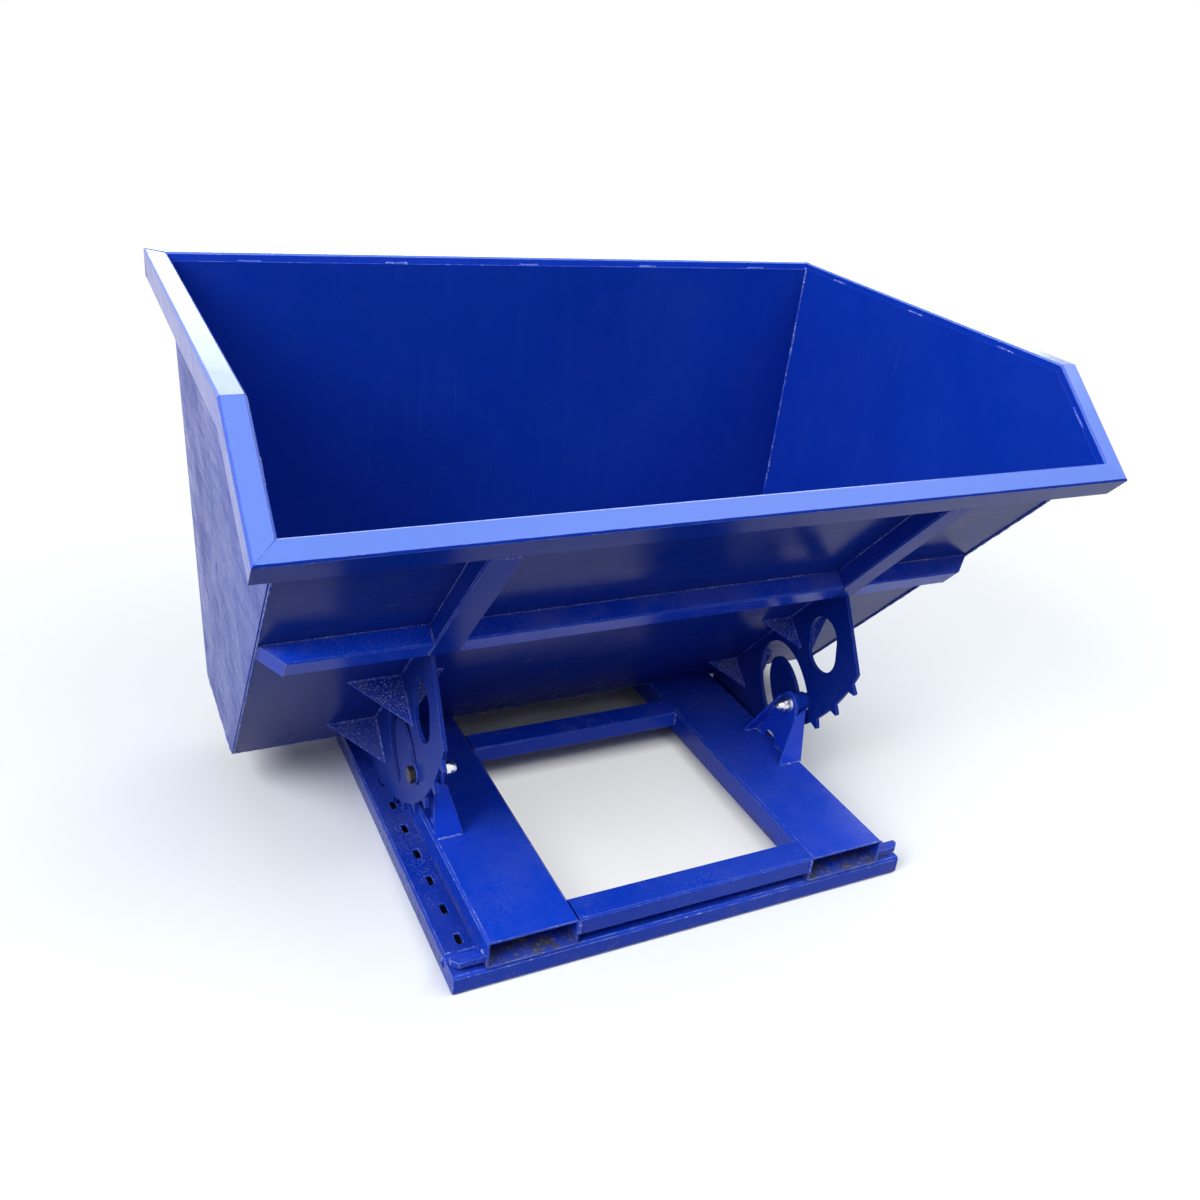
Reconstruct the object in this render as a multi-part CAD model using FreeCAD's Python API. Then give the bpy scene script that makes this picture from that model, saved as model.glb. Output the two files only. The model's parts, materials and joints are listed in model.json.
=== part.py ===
import FreeCAD, Part
import math
import os

# Roll-forward tipping skip, carried by a fork lift truck. Millimetres, +Z up, dumping side towards -Y.
# While it is built, Y counts from the front face of the base. The finished solids are moved so that
# the origin lies on the floor under the middle of the whole skip.

Vec = FreeCAD.Vector

# Clearances
OVERRUN = 20.0            # how far every cutting shape runs past what it cuts
RUNNING_GAP = 0.3         # between faces that move past each other
BOLT_FIT = 0.3            # between a bolt and its hole, on the radius
RUNNING_FIT = 0.05        # between a pivot pin and its bore, on the radius

# Base frame
BASE_WIDTH = 1000.0
BASE_LENGTH = 1040.0
RAIL_WIDTH = 200.0
RAIL_HEIGHT = 42.0
RAIL_PLATE = 6.0
RAIL_BEND = 5.0           # bevel along the folds of the channels
END_BEAM_DEPTH = 60.0
POCKET_LEDGE = 61.0       # ledge of the rail outside each fork pocket
POCKET_WIDTH = 180.0
POCKET_HEIGHT = 62.0
POCKET_WALL = 5.0
POCKET_CORNER = 5.0       # bevel along the outer corners

# Rectangular tube of the cross members, rim, beams and ribs
TUBE_DEPTH = 60.0
TUBE_WIDTH = 40.0
TUBE_WALL = 3.0
TUBE_CORNER = 3.5         # bevel along the outer corners
SECOND_TUBE_Y = 568.0

# Rack of holes in each rail, and the rocker that rolls along it
RACK_INSET = 40.0         # from the outer edge of the base to the line of holes
RACK_FIRST_Y = 90.0
RACK_PITCH = 84.0
RACK_HOLES = 8
RACK_HOLE_LENGTH = 28.0
RACK_HOLE_WIDTH = 12.0
ROLL_RADIUS = 505.0
TOOTH_LENGTH = 19.0
TOOTH_ROOT = 25.0
TOOTH_TIP = 7.0
ROCKER_PLATE = 8.0
ROCKER_TAIL = 40.0        # behind the roll centre
ROCKER_NOSE_DEG = 4.7     # from the first tooth to the front edge
TIP_MARGIN_DEG = 0.7      # tipping ends this much before the first tooth is square in its hole

# Oval lightening hole in each rocker
OVAL_RADIUS = 47.0
OVAL_SPREAD = 34.0        # between the centres of its two round ends
OVAL_LEAN_DEG = 10.0

# Triangular gussets between rocker and front panel
GUSSET_INNER_LEG = 78.0
GUSSET_OUTER_LEG = 106.0
GUSSET_PLATE = 6.0
GUSSET_UPPER = 388.0      # up the front panel from its foot
GUSSET_LOWER = 111.0

# Guide pin, its slot and its bracket
PIN_RIM = 51.7            # from the pin's centre to the rocker's edge
PIN_LEAD = 35.0           # how far the pin starts ahead of the middle of its travel
SLEEVE_DIAMETER = 36.0
SLEEVE_FLANGE = 44.0
SLEEVE_STICKOUT = 3.0     # past the rocker's outer face
SLOT_CLEARANCE = 1.0
SLOT_START_DEG = -0.5
SLOT_OVERRUN_DEG = 7.0
SLOT_STATIONS = 8         # points along the slot's curved edges
BOLT_DIAMETER = 20.0
HEX_FLATS = 30.0
BOLT_HEAD = 12.5
NUT_HEX = 16.0
NUT_NECK = 3.5            # straight part of the dome
NUT_DOME = 27.0
NUT_DOME_STEPS = 1        # turned steps of the dome
NUT_DOME_TURN_DEG = 58.0  # where the steps end in a small flat
WASHER_DIAMETER = 37.0
WASHER_PLATE = 3.0
BRACKET_PLATE = 8.0
BRACKET_INSET = 16.0      # from the pocket's outer side to the plate
BRACKET_EYE = 28.0
BRACKET_FRONT_FOOT = 48.0
BRACKET_REAR_FOOT = 96.0
BRACKET_RIB_PLATE = 6.0
BRACKET_RIB_FOOT = 60.0   # width of each rib at its foot
BRACKET_RIB_TOP = 28.0
BRACKET_RIB_SHARE = 0.95  # of the plate's straight edge
BRACKET_RIB_SLANT = 14.0
BRACKET_ARCH = 24.0       # radius of the drain arch at the plate's foot
BRACKET_ARCH_BEHIND = 44.0

# Stop bar at the front end of each rack
STOP_FRONT_Y = 6.0
STOP_DEPTH = 22.0
STOP_PLATE = 12.0
STOP_LIFT = 14.0          # above the rail
STOP_CHAMFER = 12.0

# Hopper shell
FOOT_BEHIND = 30.0        # from the roll centre back to the foot of the front panel
PANEL_ANGLE_DEG = 49.3
PANEL_LENGTH = 1067.0     # up the front panel from its foot to the top of the lip
KNEE_RUN = 220.0          # from the front panel along the sloping rim to the knee
BACK_OVERHANG = 13.0      # from the rear end of the base to the back wall
RIM_BACK_Z = 1080.0
WALL_FOOT_X = 757.0       # outer face of a side wall at the floor
WALL_TOP_X = 776.0        # the same at the height of the back rim
SHEET = 3.0               # front and side sheets
BACK_SHEET = 5.0          # floor and back sheets
SHEET_DROP = 15.0         # from the top of the rim down to the edges of the sheets

# Stiffening of the front panel
BEAM_TOP = 660.0          # up the front panel from its foot
BEAM_INSET = 3.0          # from the outer face of the side walls
RIB_WIDTH = 60.0
RIB_OFFSET = 20.0         # from the rocker to the middle of its rib, inwards
CAP_PLATE = 3.0

# Flush plugs in the side walls, on the roll axis
PLUG_RADIUS = 20.0
PLUG_RECESS = 0.4

# Latch at the back
LATCH_STANDOFF = 15.0     # from the back wall to the lever
LATCH_PLATE = 8.0
LATCH_REACH = 120.0       # from the lever's pivot to the catch pin
LATCH_HOOK = 45.0         # how far the hook reaches past the catch pin
LATCH_ARM_WIDTH = 56.0
LATCH_EYE = 28.0
LATCH_OPEN_DEG = 30.0
LATCH_HANDLE = 250.0
LATCH_HANDLE_WIDTH = 26.0
LATCH_HANDLE_RISE_DEG = 38.0
LATCH_GRIP = 120.0
LATCH_GRIP_DIAMETER = 34.0
LATCH_PIN_DIAMETER = 20.0
LATCH_PIN_HEAD = 34.0
LATCH_PIN_HEAD_PLATE = 8.0
LATCH_BOSS_INSET = 2.0    # from the rear cross tube's edges to the pivot boss
LATCH_PEG_DIAMETER = 16.0
LATCH_PEG_OUT = 110.0     # from the lever's pivot to the stop peg
CATCH_DIAMETER = 24.0
CATCH_PAD = 110.0
CATCH_PAD_PLATE = 6.0

# Places that follow from the sizes
HALF_BASE = BASE_WIDTH / 2
POCKET_TOP = RAIL_HEIGHT + POCKET_HEIGHT
POCKET_OUTER_X = HALF_BASE - POCKET_LEDGE
POCKET_INNER_X = POCKET_OUTER_X - POCKET_WIDTH
RACK_X = HALF_BASE - RACK_INSET
ROLL_Y = RACK_FIRST_Y + (RACK_HOLES - 1) * RACK_PITCH
ROLL_Z = RAIL_HEIGHT + ROLL_RADIUS
FIRST_TOOTH_ANGLE = (ROLL_Y - RACK_FIRST_Y) / ROLL_RADIUS
TIP_RANGE_DEG = math.degrees(FIRST_TOOTH_ANGLE) - TIP_MARGIN_DEG
PIN_AHEAD = ROLL_RADIUS * math.radians(TIP_RANGE_DEG) / 2 + PIN_LEAD
PIN_BELOW = math.sqrt((ROLL_RADIUS - PIN_RIM) ** 2 - PIN_AHEAD ** 2)
PIN_Y = ROLL_Y - PIN_AHEAD
PIN_Z = ROLL_Z - PIN_BELOW
HOPPER_FOOT_Y = ROLL_Y + FOOT_BEHIND
BACK_Y = BASE_LENGTH + BACK_OVERHANG
BRACKET_OUTER_X = POCKET_OUTER_X - BRACKET_INSET
ROCKER_INNER_X = RACK_X - ROCKER_PLATE / 2
ROCKER_OUTER_X = RACK_X + ROCKER_PLATE / 2
FLOOR_Z = POCKET_TOP
PANEL_ANGLE = math.radians(PANEL_ANGLE_DEG)
WALL_FLARE = math.atan2(WALL_TOP_X - WALL_FOOT_X, RIM_BACK_Z - FLOOR_Z)
BACK_RIM_Y = BACK_Y + TUBE_WIDTH
RIB_X = RACK_X - RIB_OFFSET
LATCH_Y = BACK_Y + LATCH_STANDOFF
LATCH_Z = POCKET_TOP - TUBE_WIDTH / 2
LATCH_BOSS = TUBE_WIDTH - 2 * LATCH_BOSS_INSET
HEX_SIDES = 6
BIG = 2 * (BASE_WIDTH + BACK_RIM_Y + RIM_BACK_Z)

UP = Vec(0, 0, 1)
UPHILL = Vec(0, -math.cos(PANEL_ANGLE), math.sin(PANEL_ANGLE))
OUTWARD = Vec(0, -math.sin(PANEL_ANGLE), -math.cos(PANEL_ANGLE))
ACROSS = Vec(1, 0, 0)


def panel_point(uphill, outward=0.0, x=0.0):
    """A place measured from the foot of the front panel's outer face, up it and out from it."""
    return Vec(x, HOPPER_FOOT_Y, FLOOR_Z) + UPHILL * uphill + OUTWARD * outward


LIP_OUTER = panel_point(PANEL_LENGTH, TUBE_WIDTH)
LIP_INNER = panel_point(PANEL_LENGTH)
KNEE = panel_point(PANEL_LENGTH, -KNEE_RUN)
BACK_TOP = Vec(0, BACK_RIM_Y, RIM_BACK_Z)
TOP_RUN = (BACK_TOP - KNEE).normalize()
TOP_NORMAL = Vec(0, -TOP_RUN.z, TOP_RUN.y)
FRONT_Y = LIP_OUTER.y + TUBE_CORNER * min(-OUTWARD.y, -UPHILL.y)
MIDDLE_Y = (FRONT_Y + BACK_RIM_Y) / 2


def wall_x(z):
    """Outer face of the right side wall at a height."""
    return WALL_FOOT_X + (z - FLOOR_Z) * math.tan(WALL_FLARE)


def block(x0, x1, y0, y1, z0, z1):
    """A box between six planes."""
    return Part.makeBox(x1 - x0, y1 - y0, z1 - z0, Vec(x0, y0, z0))


def plate(points, thickness):
    """A flat outline of points in space, thickened by a vector."""
    return Part.Face(Part.makePolygon(points + points[:1])).extrude(thickness)


def bar(corner, along, across, deep):
    """A solid bar from one corner, with its three edges as vectors."""
    return plate([corner, corner + across, corner + across + deep, corner + deep], along)


def bevelled(shape, run, size, chosen=lambda middle: True):
    """Bevels the chosen edges that lie along a direction."""
    edges = [e for e in shape.Edges if e.tangentAt(e.FirstParameter).cross(run).Length < OVERRUN / BIG]
    return shape.makeChamfer(size, [e for e in edges if chosen(e.CenterOfMass)])


def tube(corner, along, across, deep, wall=TUBE_WALL, bevel=TUBE_CORNER):
    """A rectangular tube with bevelled corners, open at both ends."""
    run, side, down = Vec(along).normalize(), Vec(across).normalize(), Vec(deep).normalize()
    inner_corner = corner + side * wall + down * wall - run * OVERRUN
    inner_across = side * (across.Length - 2 * wall)
    inner_deep = down * (deep.Length - 2 * wall)
    inner = bar(inner_corner, run * (along.Length + 2 * OVERRUN), inner_across, inner_deep)
    return bevelled(bar(corner, along, across, deep), run, bevel).cut(inner)


def rod(centre, along, radius):
    """A round bar from the middle of one end."""
    return Part.makeCylinder(radius, along.Length, centre, along)


def hexagon(centre, along, flats):
    """A hexagon along X, with a flat on top and below."""
    corner = flats / math.sqrt(3)
    side = along.cross(UP).normalize()
    turns = [math.tau * k / HEX_SIDES for k in range(HEX_SIDES)]
    points = [centre + side * (corner * math.cos(t)) + UP * (corner * math.sin(t)) for t in turns]
    return plate(points, along)


def trim(shape, point, normal):
    """Cuts away everything beyond a plane, on the side that its normal points to."""
    waste = Part.makeBox(BIG, BIG, BIG, Vec(-BIG / 2, -BIG / 2, 0))
    waste.Placement = FreeCAD.Placement(point, FreeCAD.Rotation(UP, normal))
    return shape.cut(waste)


def mirrored(shape):
    """The same piece on the left."""
    return shape.mirror(Vec(0, 0, 0), ACROSS)


def flared(shape):
    """Leans a piece of the right side outwards with the side wall."""
    leaned = shape.copy()
    leaned.rotate(Vec(WALL_FOOT_X, 0, FLOOR_Z), Vec(0, 1, 0), math.degrees(WALL_FLARE))
    return leaned


def group(shapes):
    """Separate solids that share one node."""
    return Part.makeCompound([solid for shape in shapes for solid in shape.Solids])


def rack_places():
    """Y of every rack hole, from the front."""
    return [RACK_FIRST_Y + k * RACK_PITCH for k in range(RACK_HOLES)]


def base_rail():
    """Right rail: a channel with its web on top, pierced by the rack holes."""
    inner_x = HALF_BASE - RAIL_WIDTH
    rear_y = BASE_LENGTH - END_BEAM_DEPTH
    along = Vec(0, 1, 0)
    rail = block(inner_x, HALF_BASE, END_BEAM_DEPTH, rear_y, 0, RAIL_HEIGHT)
    rail = bevelled(rail, along, RAIL_BEND, lambda middle: middle.z > RAIL_HEIGHT / 2)
    hollow_x = (inner_x + RAIL_PLATE, HALF_BASE - RAIL_PLATE)
    hollow = block(*hollow_x, 0, BASE_LENGTH, -OVERRUN, RAIL_HEIGHT - RAIL_PLATE)
    rail = rail.cut(hollow)
    hole_x = (RACK_X - RACK_HOLE_WIDTH / 2, RACK_X + RACK_HOLE_WIDTH / 2)
    for y in rack_places():
        hole_y = (y - RACK_HOLE_LENGTH / 2, y + RACK_HOLE_LENGTH / 2)
        rail = rail.cut(block(*hole_x, *hole_y, 0, RAIL_HEIGHT + OVERRUN))
    return rail


def end_beam(web_y, inward):
    """A channel across one end of the base, with its web outside."""
    free_y = web_y + inward * END_BEAM_DEPTH
    beam = block(-HALF_BASE, HALF_BASE, min(web_y, free_y), max(web_y, free_y), 0, RAIL_HEIGHT)
    hollow_y = sorted((web_y + inward * RAIL_PLATE, free_y + inward * OVERRUN))
    hollow_x = HALF_BASE - RAIL_PLATE
    hollow = block(-hollow_x, hollow_x, *hollow_y, RAIL_PLATE, RAIL_HEIGHT - RAIL_PLATE)

    def near_web(middle):
        return abs(middle.y - web_y) < END_BEAM_DEPTH / 2

    return bevelled(beam, ACROSS, RAIL_BEND, near_web).cut(hollow)


def fork_pocket():
    """Right fork pocket: a wide tube along the whole base."""
    corner = Vec(POCKET_INNER_X, 0, RAIL_HEIGHT)
    along, across, deep = Vec(0, BASE_LENGTH, 0), ACROSS * POCKET_WIDTH, UP * POCKET_HEIGHT
    return tube(corner, along, across, deep, POCKET_WALL, POCKET_CORNER)


def cross_tube(front_y):
    """A tube between the fork pockets, level with their tops."""
    corner = Vec(-POCKET_INNER_X, front_y, POCKET_TOP - TUBE_WIDTH)
    return tube(corner, ACROSS * (2 * POCKET_INNER_X), Vec(0, TUBE_DEPTH, 0), UP * TUBE_WIDTH)


def stop_bar():
    """Right stop bar, welded to the pocket's side above the front end of the rack."""
    front, rear, lift = STOP_FRONT_Y, STOP_FRONT_Y + STOP_DEPTH, RAIL_HEIGHT + STOP_LIFT
    outline = [(POCKET_OUTER_X, front), (HALF_BASE - STOP_CHAMFER, front), (HALF_BASE, front + STOP_CHAMFER)]
    outline += [(HALF_BASE, rear), (POCKET_OUTER_X, rear)]
    return plate([Vec(x, y, lift) for x, y in outline], UP * STOP_PLATE)


def tangent_foot(foot_y, side):
    """Where a straight edge from a bracket's foot touches the round eye, on the side given by its sign."""
    away_y, away_z = PIN_Y - foot_y, PIN_Z - POCKET_TOP
    reach = math.hypot(away_y, away_z)
    turn = math.atan2(away_z, away_y) + side * math.asin(BRACKET_EYE / reach)
    length = math.sqrt(reach ** 2 - BRACKET_EYE ** 2)
    return foot_y + length * math.cos(turn), POCKET_TOP + length * math.sin(turn)


def pin_bracket():
    """Right bracket plate: an A shape with a round eye for the guide pin and an arch at its foot."""
    front_foot, rear_foot = PIN_Y - BRACKET_FRONT_FOOT, PIN_Y + BRACKET_REAR_FOOT
    front_top, rear_top = tangent_foot(front_foot, 1), tangent_foot(rear_foot, -1)
    x = BRACKET_OUTER_X - BRACKET_PLATE
    inward = ACROSS * BRACKET_PLATE
    outline = [(front_foot, POCKET_TOP), front_top, (PIN_Y, PIN_Z), rear_top, (rear_foot, POCKET_TOP)]
    shape = plate([Vec(x, y, z) for y, z in outline], inward)
    shape = shape.fuse(rod(Vec(x, PIN_Y, PIN_Z), inward, BRACKET_EYE)).removeSplitter()
    through = ACROSS * (BRACKET_PLATE + 2 * OVERRUN)
    shape = shape.cut(rod(Vec(x - OVERRUN, PIN_Y, PIN_Z), through, BOLT_DIAMETER / 2 + BOLT_FIT))
    return shape.cut(rod(Vec(x - OVERRUN, PIN_Y + BRACKET_ARCH_BEHIND, POCKET_TOP), through, BRACKET_ARCH))


def bracket_rib(foot_y, side):
    """One rib of the right bracket: it covers the plate's sloping edge and narrows upwards."""
    top_y, top_z = tangent_foot(foot_y, side)
    edge = Vec(0, top_y - foot_y, top_z - POCKET_TOP)
    height = edge.Length * BRACKET_RIB_SHARE
    edge.normalize()
    foot = Vec(POCKET_OUTER_X, foot_y, POCKET_TOP)
    outer_top = foot + edge * height
    inner_top = outer_top - ACROSS * BRACKET_RIB_TOP - edge * BRACKET_RIB_SLANT
    inner_foot = foot - ACROSS * BRACKET_RIB_FOOT
    below = edge * -OVERRUN
    thickness = Vec(0, -edge.z, edge.y) * (BRACKET_RIB_PLATE * side)
    rib = plate([foot + below, inner_foot + below, inner_foot, inner_top, outer_top], thickness)
    return trim(rib, foot, -UP)


def pin_sleeve():
    """Right guide sleeve: a flanged bush that holds the rocker off the bracket and runs in its slot."""
    flange_end = ROCKER_INNER_X - RUNNING_GAP
    barrel_end = ROCKER_OUTER_X + SLEEVE_STICKOUT
    flange = rod(Vec(BRACKET_OUTER_X, PIN_Y, PIN_Z), ACROSS * (flange_end - BRACKET_OUTER_X), SLEEVE_FLANGE / 2)
    barrel = rod(Vec(flange_end, PIN_Y, PIN_Z), ACROSS * (barrel_end - flange_end), SLEEVE_DIAMETER / 2)
    bore_length = ACROSS * (barrel_end - BRACKET_OUTER_X + 2 * OVERRUN)
    bore = rod(Vec(BRACKET_OUTER_X - OVERRUN, PIN_Y, PIN_Z), bore_length, BOLT_DIAMETER / 2 + BOLT_FIT)
    return flange.fuse(barrel).cut(bore)


def pin_bolt():
    """Right guide bolt: hexagon head outside, shank through sleeve and bracket into the nut."""
    head_x = ROCKER_OUTER_X + SLEEVE_STICKOUT
    tip_x = BRACKET_OUTER_X - BRACKET_PLATE - WASHER_PLATE - NUT_HEX
    head = hexagon(Vec(head_x, PIN_Y, PIN_Z), ACROSS * BOLT_HEAD, HEX_FLATS)
    shank = rod(Vec(tip_x, PIN_Y, PIN_Z), ACROSS * (head_x - tip_x), BOLT_DIAMETER / 2)
    return head.fuse(shank)


def pin_nut():
    """Right dome nut, on the inner side of the bracket."""
    seat_x = BRACKET_OUTER_X - BRACKET_PLATE - WASHER_PLATE
    base_x = seat_x - NUT_HEX
    neck_x = base_x - NUT_NECK
    hexagonal = hexagon(Vec(seat_x, PIN_Y, PIN_Z), ACROSS * -NUT_HEX, HEX_FLATS)
    turns = [math.radians(NUT_DOME_TURN_DEG) * k / NUT_DOME_STEPS for k in range(NUT_DOME_STEPS + 1)]
    profile = [Vec(neck_x - NUT_DOME / 2 * math.sin(t), PIN_Y, PIN_Z + NUT_DOME / 2 * math.cos(t)) for t in turns]
    base = Vec(base_x, PIN_Y, PIN_Z)
    profile += [Vec(profile[-1].x, PIN_Y, PIN_Z), base, base + UP * (NUT_DOME / 2), profile[0]]
    dome = Part.Face(Part.makePolygon(profile)).revolve(Vec(base_x, PIN_Y, PIN_Z), ACROSS, math.degrees(math.tau))
    bore = rod(Vec(base_x, PIN_Y, PIN_Z), ACROSS * (NUT_HEX + OVERRUN), BOLT_DIAMETER / 2 + BOLT_FIT)
    return hexagonal.fuse(dome).cut(bore)


def pin_washer():
    """Right washer, under the dome nut."""
    x = BRACKET_OUTER_X - BRACKET_PLATE - WASHER_PLATE
    disc = rod(Vec(x, PIN_Y, PIN_Z), ACROSS * WASHER_PLATE, WASHER_DIAMETER / 2)
    through = ACROSS * (WASHER_PLATE + 2 * OVERRUN)
    return disc.cut(rod(Vec(x - OVERRUN, PIN_Y, PIN_Z), through, BOLT_DIAMETER / 2 + BOLT_FIT))


def pin_path(angle):
    """Where the guide pin lies on the rocker, drawn upright, when the hopper has tipped by an angle."""
    ahead = ROLL_RADIUS * angle - PIN_AHEAD
    y = ahead * math.cos(angle) - PIN_BELOW * math.sin(angle)
    z = -ahead * math.sin(angle) - PIN_BELOW * math.cos(angle)
    return Vec(0, ROLL_Y + y, ROLL_Z + z)


def pin_heading(angle):
    """Direction of that path."""
    ahead = ROLL_RADIUS * angle - PIN_AHEAD
    lift = ROLL_RADIUS - PIN_BELOW
    y = lift * math.cos(angle) - ahead * math.sin(angle)
    z = -lift * math.sin(angle) - ahead * math.cos(angle)
    return Vec(0, y, z).normalize()


def slot_cutter():
    """The pin's path over the whole roll, widened to the slot, through the right rocker."""
    start = math.radians(SLOT_START_DEG)
    stop = math.radians(TIP_RANGE_DEG + SLOT_OVERRUN_DEG)
    half = SLEEVE_DIAMETER / 2 + SLOT_CLEARANCE
    angles = [start + (stop - start) * k / (SLOT_STATIONS - 1) for k in range(SLOT_STATIONS)]
    lift = ACROSS * (ROCKER_INNER_X - OVERRUN)

    def edge_point(angle, side):
        return pin_path(angle) + ACROSS.cross(pin_heading(angle)) * (half * side) + lift

    def edge_curve(side):
        curve = Part.BSplineCurve()
        curve.interpolate([edge_point(a, side) for a in angles])
        return curve.toShape()

    def round_end(angle, outwards):
        tip = pin_path(angle) + pin_heading(angle) * (half * outwards) + lift
        return Part.Arc(edge_point(angle, 1), tip, edge_point(angle, -1)).toShape()

    edges = [edge_curve(1), round_end(stop, 1), edge_curve(-1), round_end(start, -1)]
    outline = Part.Wire(Part.sortEdges(edges)[0])
    return Part.Face(outline).extrude(ACROSS * (ROCKER_PLATE + 2 * OVERRUN))


def rocker_nose():
    """Lower end of the rocker's front edge, on the round edge a little past the first tooth."""
    angle = FIRST_TOOTH_ANGLE + math.radians(ROCKER_NOSE_DEG)
    return Vec(0, ROLL_Y - ROLL_RADIUS * math.sin(angle), ROLL_Z - ROLL_RADIUS * math.cos(angle))


def oval_cutter():
    """The lightening hole through the right rocker, half way from its nose to the upper gusset's foot."""
    lean = math.radians(OVAL_LEAN_DEG)
    axis = Vec(0, math.sin(lean), math.cos(lean))
    side = ACROSS.cross(axis)
    centre = (rocker_nose() + panel_point(GUSSET_UPPER)) * (1 / 2) + ACROSS * (ROCKER_INNER_X - OVERRUN)
    through = ACROSS * (ROCKER_PLATE + 2 * OVERRUN)
    low, high = centre - axis * (OVAL_SPREAD / 2), centre + axis * (OVAL_SPREAD / 2)
    middle = bar(low - side * OVAL_RADIUS, through, side * (2 * OVAL_RADIUS), axis * OVAL_SPREAD)
    return middle.fuse([rod(low, through, OVAL_RADIUS), rod(high, through, OVAL_RADIUS)])


def rocker_tooth(hole_y):
    """One tooth of the right rocker, which comes down into the rack hole at that place."""
    angle = (ROLL_Y - hole_y) / ROLL_RADIUS
    radial = Vec(0, -math.sin(angle), -math.cos(angle))
    side = ACROSS.cross(radial)
    centre = Vec(ROCKER_INNER_X, ROLL_Y, ROLL_Z)
    root = centre + radial * (ROLL_RADIUS - TOOTH_ROOT)
    tip = centre + radial * (ROLL_RADIUS + TOOTH_LENGTH)
    surface = centre + radial * ROLL_RADIUS
    points = [root - side * (TOOTH_ROOT / 2), surface - side * (TOOTH_ROOT / 2), tip - side * (TOOTH_TIP / 2)]
    points += [tip + side * (TOOTH_TIP / 2), surface + side * (TOOTH_ROOT / 2), root + side * (TOOTH_ROOT / 2)]
    return plate(points, ACROSS * ROCKER_PLATE)


def rocker():
    """Right rocker: a toothed round plate under the front panel, with the pin's slot and an oval hole."""
    beam_low = BEAM_TOP - TUBE_DEPTH
    front_top = panel_point(beam_low, TUBE_WIDTH, ROCKER_INNER_X)
    nose = rocker_nose() + ACROSS * ROCKER_INNER_X
    below_nose = nose + (nose - front_top).normalize() * OVERRUN
    tail_y = ROLL_Y + ROCKER_TAIL
    points = [front_top, panel_point(beam_low, 0, ROCKER_INNER_X), panel_point(0, 0, ROCKER_INNER_X)]
    points += [Vec(ROCKER_INNER_X, tail_y, FLOOR_Z), Vec(ROCKER_INNER_X, tail_y, -ROLL_RADIUS)]
    points += [Vec(ROCKER_INNER_X, below_nose.y - ROLL_RADIUS, -ROLL_RADIUS), below_nose]
    thickness = ACROSS * ROCKER_PLATE
    disc = rod(Vec(ROCKER_INNER_X, ROLL_Y, ROLL_Z), thickness, ROLL_RADIUS - RUNNING_GAP)
    shape = plate(points, thickness).common(disc)
    shape = shape.fuse([rocker_tooth(y) for y in rack_places()]).removeSplitter()
    return shape.cut([slot_cutter(), oval_cutter()])


def rocker_gussets():
    """Four triangular gussets, two on each face of the right rocker."""
    sides = [(ROCKER_INNER_X, -1, GUSSET_INNER_LEG), (ROCKER_OUTER_X, 1, GUSSET_OUTER_LEG)]
    shapes = []
    for uphill in (GUSSET_UPPER, GUSSET_LOWER):
        for x, way, leg in sides:
            corner = panel_point(uphill, 0, x)
            points = [corner, corner + ACROSS * (leg * way), corner + OUTWARD * leg]
            shapes.append(plate(points, UPHILL * -GUSSET_PLATE))
    return group(shapes)


def between_walls():
    """The space between the two side walls, as a trapezoid along Y."""
    top_z = RIM_BACK_Z + OVERRUN
    inset = SHEET / math.cos(WALL_FLARE)
    low_x, high_x = wall_x(-OVERRUN) - inset, wall_x(top_z) - inset
    front = Vec(0, LIP_OUTER.y - OVERRUN, 0)
    points = [Vec(-low_x, 0, -OVERRUN), Vec(low_x, 0, -OVERRUN), Vec(high_x, 0, top_z), Vec(-high_x, 0, top_z)]
    return plate([front + p for p in points], Vec(0, BACK_RIM_Y - LIP_OUTER.y + 2 * OVERRUN, 0))


def front_panel():
    """The sloping front sheet, on which the load slides out."""
    corner = panel_point(-OVERRUN, 0, -WALL_TOP_X)
    length = PANEL_LENGTH - SHEET_DROP + OVERRUN
    sheet = bar(corner, UPHILL * length, ACROSS * (2 * WALL_TOP_X), OUTWARD * -SHEET)
    return trim(sheet, Vec(0, 0, FLOOR_Z), -UP).common(between_walls())


def floor_panel():
    """The floor sheet, from the front sheet to the back sheet."""
    front_y = HOPPER_FOOT_Y - BACK_SHEET
    sheet = block(-WALL_TOP_X, WALL_TOP_X, front_y, BACK_Y - BACK_SHEET, FLOOR_Z, FLOOR_Z + BACK_SHEET)
    return trim(sheet, panel_point(0, -SHEET), OUTWARD).common(between_walls())


def back_panel():
    """The upright back sheet."""
    sheet = block(-WALL_TOP_X, WALL_TOP_X, BACK_Y - BACK_SHEET, BACK_Y, FLOOR_Z, RIM_BACK_Z - SHEET_DROP)
    return trim(sheet, KNEE - TOP_NORMAL * SHEET_DROP, TOP_NORMAL).common(between_walls())


def side_wall():
    """Right side sheet, with the round opening of the plug on the roll axis."""
    sheet = block(WALL_FOOT_X - SHEET, WALL_FOOT_X, LIP_OUTER.y, BACK_Y, FLOOR_Z, RIM_BACK_Z + OVERRUN)
    sheet = trim(sheet, LIP_INNER - UPHILL * SHEET_DROP, UPHILL)
    sheet = flared(trim(sheet, KNEE - TOP_NORMAL * SHEET_DROP, TOP_NORMAL))
    sheet = trim(sheet, panel_point(0), OUTWARD)
    axis = Vec(WALL_FOOT_X - OVERRUN, ROLL_Y, ROLL_Z)
    return sheet.cut(rod(axis, ACROSS * (WALL_TOP_X - WALL_FOOT_X + 2 * OVERRUN), PLUG_RADIUS + RUNNING_GAP))


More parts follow.
